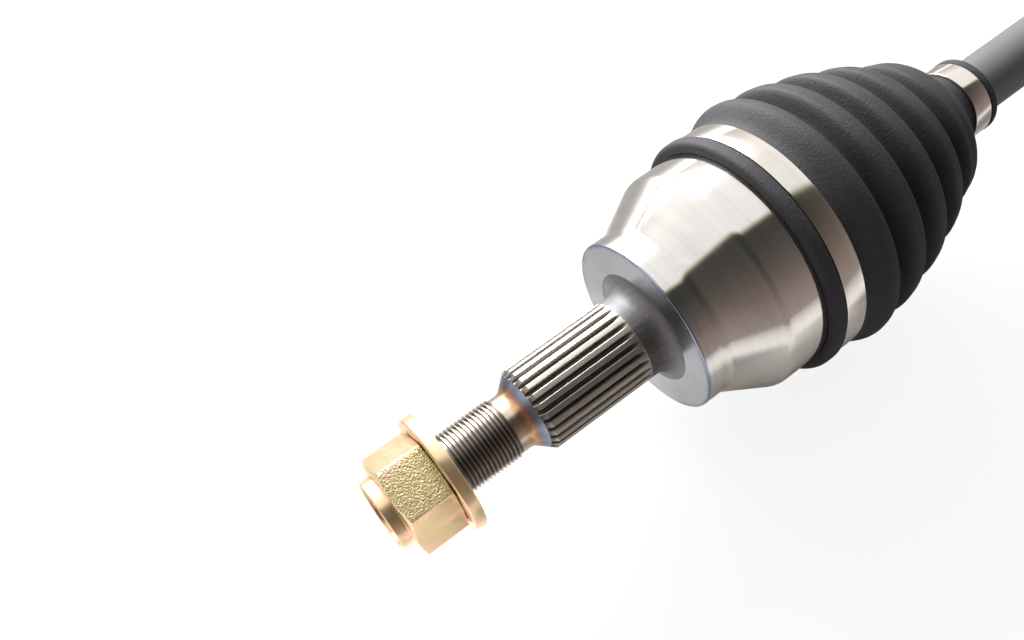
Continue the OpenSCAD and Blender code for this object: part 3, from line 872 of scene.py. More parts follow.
@dataclass
class HubThread:
    """Threaded end of the stub.

    Attributes:
        front: Station of the end.
        back: Station where the thread meets the neck.
        crest: Radius of the crests.
        root: Radius of the roots.
        pitch: Pitch of the thread.
        shares: Parts of the pitch where the crest starts, where it ends and where the root starts.
        neck: Radius of the plain neck.
        chamfer: Height of the chamfer at the end.
        run_out: Slope of the thread's end at the neck.
        steps: Steps in one turn of the thread.
    """

    front: float = -106.0
    back: float = -59.0
    crest: float = 11.0
    root: float = 10.08
    pitch: float = 1.5
    shares: tuple[float, float, float] = (0.3125, 0.4375, 0.75)
    neck: float = 10.2
    chamfer: float = 1.2
    run_out: float = 1.1
    steps: int = 72

    def build(self, palette: Palette) -> None:
        """Makes the thread and the stub's end face."""
        attach(self._helix(palette), "bell", "polished_steel")
        attach(self._end_face(palette), "bell", "polished_steel")

    def _helix(self, palette: Palette) -> bpy.types.Object:
        """Screws one pitch of the thread's side view along the stub and trims both ends.

        Args:
            palette: The shaft's materials.

        Returns:
            The thread.
        """
        p = self.pitch
        rise, top, foot = self.shares
        side_view = [(0, self.root), (rise * p, self.crest), (top * p, self.crest)]
        side_view += [(foot * p, self.root), (p, self.root)]
        shape = bmesh.new()
        start = self.front - 1.2 * p
        verts = [shape.verts.new((start + x, 0, r)) for x, r in side_view]
        edges = [shape.edges.new(pair) for pair in zip(verts, verts[1:])]
        turns = math.ceil((self.back - start) / p) + 1
        bmesh.ops.spin(
            shape,
            geom=[*verts, *edges],
            cent=(0, 0, 0),
            axis=(1, 0, 0),
            dvec=(p / self.steps, 0, 0),
            angle=FULL_TURN,
            steps=self.steps,
        )
        one_turn = [*shape.verts, *shape.edges, *shape.faces]
        for turn in range(1, turns):
            copied = bmesh.ops.duplicate(shape, geom=one_turn)["geom"]
            moved = [item for item in copied if isinstance(item, BMVert)]
            bmesh.ops.translate(shape, vec=(turn * p, 0, 0), verts=moved)
        bmesh.ops.remove_doubles(shape, verts=shape.verts, dist=1e-3)
        for station, outwards in ((self.front, -1), (self.back, 1)):
            bmesh.ops.bisect_plane(
                shape,
                geom=[*shape.verts, *shape.edges, *shape.faces],
                plane_co=(station, 0, 0),
                plane_no=(outwards, 0, 0),
                clear_outer=True,
            )
        for vertex in shape.verts:
            radius, _ = around(vertex)
            lead_in = self.crest - self.chamfer + (vertex.co.x - self.front)
            run_out = self.neck + (self.back - vertex.co.x) * self.run_out
            set_radius(vertex, max(min(radius, lead_in, run_out), self.root - 0.3))
        rims = [edge for edge in shape.edges if edge.is_boundary]
        bmesh.ops.holes_fill(shape, edges=rims, sides=0)
        return finished("hub_thread", shape, [palette.thread], 25)

    def _end_face(self, palette: Palette) -> bpy.types.Object:
        """Turns the end face with its centre hole.

        Args:
            palette: The shaft's materials.

        Returns:
            The end face.
        """
        face = self.front - 0.03
        corners = [
            Corner(self.front + 8, 0),
            Corner(self.front + 5.4, 0.4),
            Corner(self.front + 1, 2.8),
            Corner(face, 3.6),
            Corner(face, self.crest - 1.35, 0.15),
            Corner(self.front + 2, self.crest - 1.35),
            Corner(self.front + 9, self.root - 1),
            Corner(self.front + 9, 0),
        ]
        return turned("stub_end_face", corners, [palette.machined], 96)


@dataclass
class SplineTeeth:
    """Splines whose grooves rise at one end along the path of the cutter.

    Attributes:
        name: Name of the piece.
        rims: Station and largest radius at each step before the grooves rise.
        run_out: Station where the cutter's path leaves the stub.
        radius: Outer radius.
        depth: Depth of a groove.
        count: Number of grooves.
        floor: Width of a groove at its floor.
        mouth: Width of a groove at the outer radius.
        hob: Radius of the cutter.
        edge: Width of the broken edge at a groove's mouth.
        rise_steps: Steps of a groove's rise.
    """

    name: str
    rims: list[tuple[float, float]]
    run_out: float
    radius: float
    depth: float
    count: int
    floor: float = 1.0
    mouth: float = 1.85
    hob: float = 9.0
    edge: float = 0.16
    rise_steps: int = 10

    def build(self, material: bpy.types.Material) -> bpy.types.Object:
        """Draws one tooth pitch along the stub, lets the groove rise at its end and repeats it.

        Args:
            material: Finish of the splines.

        Returns:
            The piece.
        """
        shape = bmesh.new()
        row: list[BMVert] = []
        for x, depth, limit in self._stations():
            spots = [
                Vector((x, min(r, limit) * math.sin(a), min(r, limit) * math.cos(a)))
                for a, r in self._section(max(depth, 1e-3))
            ]
            if not row:
                row = [shape.verts.new(spot) for spot in spots]
                for pair in zip(row, row[1:]):
                    shape.edges.new(pair)
                chain = list(shape.edges)
                continue
            grown = bmesh.ops.extrude_edge_only(shape, edges=chain)["geom"]
            fresh = [item for item in grown if isinstance(item, BMVert)]
            fresh.sort(key=lambda vertex: around(vertex)[1])
            for vertex, spot in zip(fresh, spots):
                vertex.co = spot
            chain = [item for item in grown if isinstance(item, bmesh.types.BMEdge)]
            chain = [edge for edge in chain if all(v in fresh for v in edge.verts)]
        bmesh.ops.spin(
            shape,
            geom=[*shape.verts, *shape.edges, *shape.faces],
            cent=(0, 0, 0),
            axis=(1, 0, 0),
            dvec=(0, 0, 0),
            angle=FULL_TURN / self.count * (self.count - 1),
            steps=self.count - 1,
            use_duplicate=True,
        )
        bmesh.ops.remove_doubles(shape, verts=shape.verts, dist=1e-3)
        rims = [edge for edge in shape.edges if edge.is_boundary]
        bmesh.ops.holes_fill(shape, edges=rims, sides=0)
        return finished(self.name, shape, [material], 28)

    def _stations(self) -> list[tuple[float, float, float]]:
        """Station, depth of the groove and largest radius of each section.

        Returns:
            The sections, from the free end to the cutter's run-out.
        """
        run = math.sqrt(self.hob**2 - (self.hob - self.depth) ** 2)
        inwards = math.copysign(1, self.run_out - self.rims[0][0])
        marks = [(x, self.depth, limit) for x, limit in self.rims]
        for k in range(self.rise_steps + 1):
            t = k / self.rise_steps
            rise = self.hob - math.sqrt(self.hob**2 - (run * t) ** 2)
            marks.append((self.run_out - inwards * run * (1 - t), self.depth - rise, self.radius))
        return marks

    def _section(self, depth: float) -> list[tuple[float, float]]:
        """Angle and radius of the points across one tooth pitch where a groove has this depth.

        Args:
            depth: Depth of the groove here.

        Returns:
            Angle and radius of each point.
        """
        slope = (self.mouth - self.floor) / self.depth
        half_floor = self.floor / 2
        half_mouth = (self.floor + slope * depth) / 2
        low, high = self.radius - depth, self.radius
        right = [(0.0, low), (half_floor * 0.6, low), (half_floor, low + 0.1 * depth)]
        right += [(half_mouth, high - 0.06 * depth), (half_mouth + self.edge, high)]
        arc = math.pi * self.radius / self.count
        right += [(half_mouth + 0.5 * (arc - half_mouth), high), (arc, high)]
        left = [(-across, radius) for across, radius in right[:0:-1]]
        return [(across / self.radius, radius) for across, radius in left + right]


@dataclass
class HubSplines:
    """Splined part of the stub, with the neck and the flare in front of it.

    Attributes:
        front: Station of the splines' front end.
        back: Station where the cutter's path leaves the stub.
        radius: Outer radius.
        depth: Depth of a groove.
        count: Number of grooves.
        flare: Length of the whole flare.
        neck: Radius of the plain neck.
        neck_back: Station where the flare starts.
        thread_back: Station where the thread ends.
    """

    front: float = -48.5
    back: float = -9.0
    radius: float = 15.5
    depth: float = 1.7
    count: int = 26
    flare: float = 6.0
    neck: float = 10.2
    neck_back: float = -54.5
    thread_back: float = -59.0

    def build(self, palette: Palette) -> None:
        """Makes the splines and the neck.

        Args:
            palette: The shaft's materials.
        """
        low = self.radius - self.depth
        flare_low = self.front - self.depth * self.flare / (self.radius - self.neck)
        rims = [(flare_low, low), (self.front, self.radius)]
        teeth = SplineTeeth("hub_splines", rims, self.back, self.radius, self.depth, self.count)
        attach(teeth.build(palette.oiled), "bell", "polished_steel")
        corners = [
            Corner(self.thread_back, 0),
            Corner(self.thread_back, self.neck),
            Corner(self.neck_back, self.neck, 4.0),
            Corner(flare_low, low),
            Corner(flare_low + 0.5, low - 0.2),
            Corner(flare_low + 0.5, 0),
        ]
        neck = turned("stub_neck", corners, [palette.tinted], 192, 10)
        attach(neck, "bell", "polished_steel")


@dataclass
class BellForging:
    """Outer race of the ball joint with its shoulder.

    Attributes:
        land: Radius of the plain land behind the splines.
        land_front: Station where the splines' run-outs end.
        shoulder: Radius of the shoulder disc.
        shoulder_width: Thickness of the shoulder disc.
        cone_end: Station where the cone reaches the full radius.
        radius: Full radius.
        length: Station of the open end.
        seat: Radius of the boot's seat.
        seat_front: Station where the boot's seat starts.
        mouth: Radius of the open mouth.
        joint: Station of the joint's centre.
        hollow: Radius of the hollow.
        hollow_back: Reach of the hollow from the joint's centre towards the mouth.
        hollow_front: Reach of the hollow from the joint's centre towards the stub.
        hollow_steps: Steps of the hollow's side view.
    """

    land: float = 15.5
    land_front: float = -9.0
    shoulder: float = 33.1
    shoulder_width: float = 8.0
    cone_end: float = 27.0
    radius: float = 43.0
    length: float = 58.0
    seat: float = 42.2
    seat_front: float = 47.8
    mouth: float = 38.9
    joint: float = 38.0
    hollow: float = 34.5
    hollow_back: float = 13.0
    hollow_front: float = 29.0
    hollow_steps: int = 12

    def build(self, palette: Palette) -> None:
        """Turns the forging.

        Args:
            palette: The shaft's materials.
        """
        polished, blued, oiled = 0, 1, 2
        corners = [
            Corner(self.land_front, 0, 0, oiled),
            Corner(self.land_front, self.land, 0, oiled),
            Corner(0, self.land, 6.0, blued),
            Corner(0, self.shoulder, 0.7, polished),
            Corner(self.shoulder_width + 1, self.shoulder, 7.0, polished),
            Corner(self.cone_end, self.radius, 6.0, polished),
            Corner(self.seat_front - 0.4, self.radius, 0, polished),
            Corner(self.seat_front, self.seat, 0, polished),
            Corner(self.length, self.seat, 0.6, polished),
            Corner(self.length, self.mouth, 0, polished),
        ]
        reach = math.asin(self.hollow_back / self.hollow)
        depth = math.asin(self.hollow_front / self.hollow)
        for k in range(self.hollow_steps + 1):
            angle = reach - (reach + depth) * k / self.hollow_steps
            along, out = self.hollow * math.sin(angle), self.hollow * math.cos(angle)
            corners.append(Corner(self.joint + along, out, 0, polished))
        corners.append(Corner(self.joint - self.hollow_front, 0, 0, polished))
        finishes = [palette.polished, palette.blued, palette.land]
        piece = turned("bell_forging", corners, finishes, 256, 10)
        attach(piece, "bell", "polished_steel", "outer_race_bell")


@dataclass
class HubNut:
    """Hexagon nut with its staking collar.

    Attributes:
        collar_top: Station of the collar's rim.
        top: Station of the hexagon's outer face.
        face: Station of the hexagon's face on the washer.
        flats: Width across the flats.
        collar: Radius of the collar.
        wall: Wall of the collar.
        bore: Radius of the bore.
        turn: Turn of the hexagon in degrees.
        outer_chamfer: Step down and fall of the chamfer on the outer face.
        inner_chamfer: Step down and fall of the chamfer on the washer's side.
        edge: Width of the broken edges.
        steps: Steps on each flat.
    """

    collar_top: float = -108.0
    top: float = -103.7
    face: float = -86.6
    flats: float = 32.0
    collar: float = 12.7
    wall: float = 1.3
    bore: float = 11.05
    turn: float = -8.0
    outer_chamfer: tuple[float, float] = (0.2, 1.1)
    inner_chamfer: tuple[float, float] = (0.05, 0.35)
    edge: float = 0.3
    steps: int = 24

    def build(self, palette: Palette) -> None:
        """Turns the nut and presses its turned body into a hexagon.

        Args:
            palette: The shaft's materials.
        """
        placeholder = 30.0
        inner = self.collar - self.wall
        corners = [
            Corner(self.top + 1, self.bore),
            Corner(self.top + 0.4, inner),
            Corner(self.collar_top, inner, 0.4),
            Corner(self.collar_top, self.collar, 0.6),
            Corner(self.top, self.collar, 0.5),
            Corner(self.top, self.flats / 2 - 0.4),
            Corner(self.top + 1, placeholder),
            Corner(self.face - 1, placeholder + 1),
            Corner(self.face, self.flats / 2),
            Corner(self.face, self.bore),
        ]
        shape = bmesh.new()
        spin_outline(shape, rounded(corners, 6), 6 * self.steps)
        bmesh.ops.remove_doubles(shape, verts=shape.verts, dist=1e-4)
        self._press_hexagon(shape, placeholder)
        for face in shape.faces:
            middle = face.calc_center_median()
            outwards = math.degrees(math.atan2(middle.y, middle.z))
            on_side = abs(face.normal.x) < 0.1 and math.hypot(middle.y, middle.z) > self.flats / 2 - 0.3
            face.material_index = on_side + (on_side and self._is_rough(outwards))
        bmesh.ops.recalc_face_normals(shape, faces=shape.faces)
        sharp = [edge for edge in shape.edges if edge.calc_face_angle(0) > math.radians(25)]
        bmesh.ops.bevel(
            shape,
            geom=sharp,
            offset=self.edge,
            offset_type="OFFSET",
            affect="EDGES",
            segments=3,
            profile=0.5,
            material=-1,
            clamp_overlap=True,
        )
        piece = finished("nut_hexagon", shape, [palette.zinc, palette.pressed_zinc, palette.rough_zinc], 50)
        attach(piece, "nut", "yellow_zinc", "hub_nut")

    def _press_hexagon(self, shape: BMesh, placeholder: float) -> None:
        """Moves the body's two outer rings onto the hexagon and its turned chamfers.

        Args:
            shape: The turned nut.
            placeholder: Radius of the outer rings before the move.
        """
        flat = self.flats / 2
        point = flat / math.cos(math.pi / 6)
        for vertex in shape.verts:
            radius, angle = around(vertex)
            if radius < placeholder - 1:
                continue
            across = (math.degrees(angle) - self.turn + 30) % 60 - 30
            target = flat / math.cos(math.radians(across))
            set_radius(vertex, target)
            rise = (target - flat) / (point - flat)
            if radius < placeholder + 0.5:
                step, fall = self.outer_chamfer
                vertex.co.x = self.top + step + fall * rise
            else:
                step, fall = self.inner_chamfer
                vertex.co.x = self.face - step - fall * rise

    def _is_rough(self, outwards: float) -> bool:
        """Tells whether a place at this angle round the shaft lies on the rough side of the hexagon."""
        return abs((outwards - self.turn + 180) % 360 - 180) < 30


@dataclass
class CaptiveWasher:
    """Thick loose washer under the hexagon.

    Attributes:
        back: Station of its face under the nut.
        front: Station of its face towards the hub.
        radius: Outer radius.
        bore: Radius of the bore.
    """

    back: float = -86.4
    front: float = -82.0
    radius: float = 21.4
    bore: float = 11.35

    def build(self, palette: Palette) -> None:
        """Turns the washer.

        Args:
            palette: The shaft's materials.
        """
        rolled, pressed = 0, 1
        corners = [
            Corner(self.back, self.bore, 0.3, pressed),
            Corner(self.back, self.radius, 0.9, rolled),
            Corner(self.front, self.radius, 0.5, rolled),
            Corner(self.front, self.bore, 0.3, rolled),
        ]
        washer = turned("nut_washer", corners, [palette.zinc, palette.pressed_zinc])
        attach(washer, "washer", "yellow_zinc", "captive_washer")


# --- boots and bands --------------------------------------------------------------------------


@dataclass
class BootShape:
    """Turned rubber boot with rounded folds that get smaller towards the bar.

    Attributes:
        lip_front: Station of the lip's outer edge.
        direction: 1 if the boot gets smaller towards positive X, else -1.
        seat: Radius of the seat under the boot.
        carrier: Radius of the carrier in front of the seat.
        first: Radius of the first fold.
        fall: Straight part of the fall from fold to fold.
        curve: Growing part of the fall.
        depth: Depth of a fold.
        start: Distance from the lip to the first fold.
        pitch: Distance from fold to fold.
        tail: Length behind the last fold.
        count: Number of folds.
        lip_width: Width of the lip bead.
        lip_height: Height of the lip bead.
        seat_width: Width of the seat.
        collar: Wall on the seat.
        bar: Radius of the bar.
        small_width: Length on the bar.
        small_wall: Wall on the bar.
        bead_width: Width of the bead on the bar.
        bead_height: Height of the bead on the bar.
        wall: Wall of the folds.
        pinch: Power that narrows the dips between the folds.
        collar_steps: Steps from the collar to the first fold.
        tail_steps: Steps behind the last fold.
    """

    lip_front: float = 42.6
    direction: int = 1
    seat: float = 42.2
    carrier: float = 43.0
    first: float = 49.4
    fall: float = 1.5
    curve: float = 0.85
    depth: float = 7.4
    start: float = 24.0
    pitch: float = 15.4
    tail: float = 20.0
    count: int = 5
    lip_width: float = 5.2
    lip_height: float = 3.8
    seat_width: float = 10.2
    collar: float = 2.8
    bar: float = 11.0
    small_width: float = 9.0
    small_wall: float = 2.8
    bead_width: float = 3.0
    bead_height: float = 4.0
    wall: float = 2.4
    pinch: float = 2.6
    collar_steps: int = 12
    tail_steps: int = 16

    @property
    def collar_radius(self) -> float:
        """Outer radius under the large band."""
        return self.seat + 0.1 + self.collar

    @property
    def small_radius(self) -> float:
        """Outer radius under the small band."""
        return self.bar + 0.1 + self.small_wall

    @property
    def length(self) -> float:
        """Distance from the lip's edge to the end of the small band's seat."""
        return self.start + self.pitch * (self.count - 1) + self.tail + self.small_width

    def crest(self, number: float) -> float:
        """Radius of the line through the folds' tops at this fold number."""
        return self.first - self.fall * number - self.curve * number**2

    def folded_wall(self, steps: int) -> list[tuple[float, float]]:
        """Outer side of the folded wall.

        Args:
            steps: Points on each fold.

        Returns:
            Distance from the lip and radius of each point.
        """
        collar_end = self.lip_width + self.seat_width
        points = []
        for k in range(2, self.collar_steps):
            t = k / self.collar_steps
            rise = (1 - math.cos(math.pi * t)) / 2
            points.append(
                (collar_end + (self.start - collar_end) * t,
                 self.collar_radius + (self.first - self.collar_radius) * rise)
            )
        for i in range(self.count - 1):
            for k in range(steps):
                t = k / steps
                dip = ((1 - math.cos(FULL_TURN * t)) / 2) ** self.pinch
                points.append((self.start + self.pitch * (i + t), self.crest(i + t) - self.depth * dip))
        top = self.crest(self.count - 1)
        last = self.start + self.pitch * (self.count - 1)
        for k in range(self.tail_steps + 1):
            t = k / self.tail_steps
            drop = (1 - math.cos(math.pi * t)) / 2
            points.append((last + self.tail * t, top + (self.small_radius - top) * drop))
        return points

    def side_view(self, steps: int = 28) -> list[Corner]:
        """Closed side view of the boot, in stations of the shaft.

        Args:
            steps: Points on each fold.

        Returns:
            The side view's corners.
        """
        outer = self.folded_wall(steps)
        collar_end = self.lip_width + self.seat_width
        lip = self.carrier + 0.1 + self.lip_height
        bead = self.bar + 0.1 + self.bead_height
        end = self.length
        marks = [
            Corner(0, self.carrier + 0.1, 0.3),
            Corner(0, lip, 2.0),
            Corner(self.lip_width, lip, 0.9),
            Corner(self.lip_width, self.collar_radius, 0),
            Corner(collar_end, self.collar_radius, 0),
            *[Corner(x, r) for x, r in outer],
            Corner(end, self.small_radius, 0.3),
            Corner(end, bead, 0.9),
            Corner(end + self.bead_width, bead, 0.9),
            Corner(end + self.bead_width, self.bar + 0.1, 0.3),
            Corner(end - self.small_width, self.bar + 0.1),
            *[Corner(x, r - self.wall) for x, r in outer[-2:3:-2]],
            Corner(collar_end + 0.3, self.seat + 0.1),
            Corner(self.lip_width, self.seat + 0.1),
        ]
        return [
            Corner(self.lip_front + self.direction * c.x, c.r, c.fillet, c.finish) for c in marks
        ]


BAND_WALL = 1.0
BAND_ROOM = 0.05


@dataclass
class CrimpedEar:
    """Crimped ear that draws a band tight.

    Attributes:
        radius: Outer radius of the band.
        angle: Place round the shaft in degrees, from the top towards positive Y.
        height: Height over the band.
        foot: Width of the ear at the band.
        waist: Width of the ear below its head.
    """

    radius: float
    angle: float = 140.0
    height: float = 4.2
    foot: float = 8.4
    waist: float = 4.4

    def build(self, name: str, station: float, width: float, palette: Palette) -> bpy.types.Object:
        """Bends a strip into the ear.

        Args:
            name: Name of the piece.
            station: Station of the ear's lower edge.
            width: Width of the band.
            palette: The shaft's materials.

        Returns:
            The piece.
        """
        shape = bmesh.new()
        outside = self._path(0.0)
        inside = self._path(BAND_WALL)
        ring = [self._spot(station, across, rise) for across, rise in outside + inside[::-1]]
        face = shape.faces.new([shape.verts.new(spot) for spot in ring])
        grown = bmesh.ops.extrude_face_region(shape, geom=[face])["geom"]
        moved = [item for item in grown if isinstance(item, BMVert)]
        bmesh.ops.translate(shape, vec=(width, 0, 0), verts=moved)
        sharp = [edge for edge in shape.edges if abs(edge.verts[0].co.x - edge.verts[1].co.x) < 1e-6]
        bmesh.ops.bevel(
            shape,
            geom=sharp,
            offset=0.15,
            affect="EDGES",
            segments=2,
            profile=0.5,
            material=-1,
            clamp_overlap=True,
        )
        return finished(name, shape, [palette.band], 40)

    def _path(self, inset: float) -> list[tuple[float, float]]:
        """Side view of the strip's outer or inner side, across the ear and up from the band.

        Args:
            inset: Distance from the strip's outer side.

        Returns:
            Place across and height of each point.
        """
        top = self.height - inset
        waist = self.waist / 2 - inset
        foot = self.foot / 2
        right = [(foot + 1.5, -0.05 - inset), (foot, 0.05 - inset * 0.9), (waist + 0.5, 0.7 - inset * 0.4)]
        right += [(waist, 1.6), (waist + 0.1, top - 1.0), (waist - 0.5, top - 0.2), (waist * 0.45, top)]
        right += [(0.0, top - 0.12)]
        return [(-across, rise) for across, rise in right] + right[-2::-1]

    def _spot(self, station: float, across: float, rise: float) -> Vector:
        """Place of a point of the side view.

        Args:
            station: Station of the point.
            across: Its place across the ear.
            rise: Its height over the band.

        Returns:
            The point.
        """
        turn = math.radians(self.angle) + across / self.radius
        reach = self.radius + rise
        return Vector((station, reach * math.sin(turn), reach * math.cos(turn)))


def band(name: str, station: float, width: float, radius: float, palette: Palette) -> bpy.types.Object:
    """Steel clamp band.

    Args:
        name: Name of the piece.
        station: Station of its lower edge.
        width: Width.
        radius: Inner radius.
        palette: The shaft's materials.

    Returns:
        The piece.
    """
    outer = radius + BAND_WALL
    corners = [
        Corner(station, radius, 0.1),
        Corner(station, outer, 0.3),
        Corner(station + width, outer, 0.3),
        Corner(station + width, radius, 0.1),
    ]
    return turned(name, corners, [palette.band], 192, 5)


def clamp(
    name: str, place: tuple[float, float], rubber: float, body: str, node: str, palette: Palette
) -> None:
    """Steel clamp, which is a band with its crimped ear.

    Args:
        name: Start of the names of its pieces.
        place: Station of the lower edge and width.
        rubber: Outer radius of the rubber under it.
        body: Body that it rides on.
        node: CAD node that it stands for.
        palette: The shaft's materials.
    """
    radius = rubber + BAND_ROOM
    attach(band(f"{name}_band", *place, radius, palette), body, "clamp_steel", node)
    ear = CrimpedEar(radius + BAND_WALL)
    attach(ear.build(f"{name}_ear", *place, palette), body, "clamp_steel")


@dataclass
class WheelBoot:
    """Boot of the ball joint with its two bands.

    Attributes:
        shape: The boot's sizes.
        large_band: Station and width of the large band.
        small_band: Station and width of the small band.
        bend: Stations between which the boot would bend, near enough to the bell to clear the bar; not
            used.
    """

    shape: BootShape = field(default_factory=BootShape)
    large_band: tuple[float, float] = (48.4, 8.6)
    small_band: tuple[float, float] = (148.9, 8.0)
    bend: tuple[float, float] = (53.0, 113.0)

    def build(self, palette: Palette) -> None:
        """Makes the boot and its bands.

        Args:
            palette: The shaft's materials.
        """
        boot = turned("wheel_boot", self.shape.side_view(), [palette.rubber], 224, 6)
        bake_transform(boot)
        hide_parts("outboard_boot")
        wide, narrow = self.shape.collar_radius, self.shape.small_radius
        clamp("wheel_boot_large", self.large_band, wide, "bell", "outboard_large_clamp", palette)
        clamp("wheel_boot_small", self.small_band, narrow, "shaft", "outboard_small_clamp", palette)


@dataclass
class GearboxBoot:
    """Boot of the sliding joint with its two bands, in two lengths that meet in a fold's root.

    Attributes:
        shape: The boot's sizes.
        split: Station where the bending length meets the sliding length.
        large_band: Station and width of the large band.
        small_band: Station and width of the small band.
        bend_start: Station where the bending length would start to bend; not used.
        slide_end: Station where the sliding length would stop stretching; not used.
    """

    shape: BootShape = field(
        default_factory=lambda: BootShape(
            lip_front=394.9,
            direction=-1,
            seat=36.7,
            carrier=37.5,
            first=38.6,
            fall=1.2,
            curve=0.55,
            depth=4.4,
            start=26.0,
            pitch=11.0,
            tail=16.0,
            wall=1.5,
        )
    )
    split: float = 352.4
    large_band: tuple[float, float] = (380.6, 8.0)
    small_band: tuple[float, float] = (300.2, 8.0)
    bend_start: float = 322.0
    slide_end: float = 379.0

    def build(self, palette: Palette) -> None:
        """Makes both lengths of the boot and the bands.

        Args:
            palette: The shaft's materials.
        """
        self._length("gearbox_boot_bending", palette, -1)
        self._length("gearbox_boot_sliding", palette, 1)
        wide, narrow = self.shape.collar_radius, self.shape.small_radius
        clamp("gearbox_boot_large", self.large_band, wide, "housing", "inboard_large_clamp", palette)
        clamp("gearbox_boot_small", self.small_band, narrow, "shaft", "inboard_small_clamp", palette)

    def _length(self, name: str, palette: Palette, side: int) -> None:
        """Cuts one length out of the boot and bridges the cut.

        Args:
            name: Name of the piece.
            palette: The shaft's materials.
            side: 1 for the length towards positive X, -1 for the other.
        """
        shape = bmesh.new()
        spin_outline(shape, rounded(self.shape.side_view(), 6), 192)
        bmesh.ops.remove_doubles(shape, verts=shape.verts, dist=1e-4)
        bmesh.ops.bisect_plane(
            shape,
            geom=[*shape.verts, *shape.edges, *shape.faces],
            plane_co=(self.split, 0, 0),
            plane_no=(side, 0, 0),
            clear_inner=True,
        )
        rims = [edge for edge in shape.edges if edge.is_boundary]
        bmesh.ops.bridge_loops(shape, edges=rims)
        boot = finished(name, shape, [palette.rubber])
        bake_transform(boot)
        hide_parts("inboard_boot")


# --- bar and gearbox end ----------------------------------------------------------------------


@dataclass
class Bar:
    """Solid bar between the joints, with the ends that carry the inner race and the spider.

    Attributes:
        front: Station of the end in the ball joint.
        back: Station of the end in the sliding joint.
        radius: Radius of the bar.
        front_end: Radius of the end in the ball joint.
        back_end: Radius of the end in the sliding joint.
        stop: Station and radius of the collar that stops the inner race.
        swell: Station where the bar swells towards the spider.
    """

    front: float = 23.3
    back: float = 431.7
    radius: float = 11.0
    front_end: float = 12.0
    back_end: float = 11.6
    stop: tuple[float, float] = (50.05, 13.5)
    swell: float = 397.0

    def build(self, palette: Palette) -> None:
        """Turns the bar.

        Args:
            palette: The shaft's materials.
        """
        paint, bare = 0, 1
        place, height = self.stop
        corners = [
            Corner(self.front, 0, 0, bare),
            Corner(self.front, self.front_end - 0.8, 0, bare),
            Corner(self.front + 0.8, self.front_end, 0, bare),
            Corner(place, self.front_end, 0, bare),
            Corner(place, height, 0.3, bare),
            Corner(place + 2.5, height, 0.8, bare),
            Corner(place + 5.5, self.radius, 0.8, paint),
            Corner(self.swell, self.radius, 0, bare),
            Corner(self.swell + self.back_end - self.radius, self.back_end, 0, bare),
            Corner(self.back - 0.8, self.back_end, 0, bare),
            Corner(self.back, self.back_end - 0.8, 0, bare),
            Corner(self.back, 0, 0, bare),
        ]
        bar = turned("solid_bar", corners, [palette.paint, palette.machined], 128)
        attach(bar, "shaft", "bar_paint", "shaft_bar")


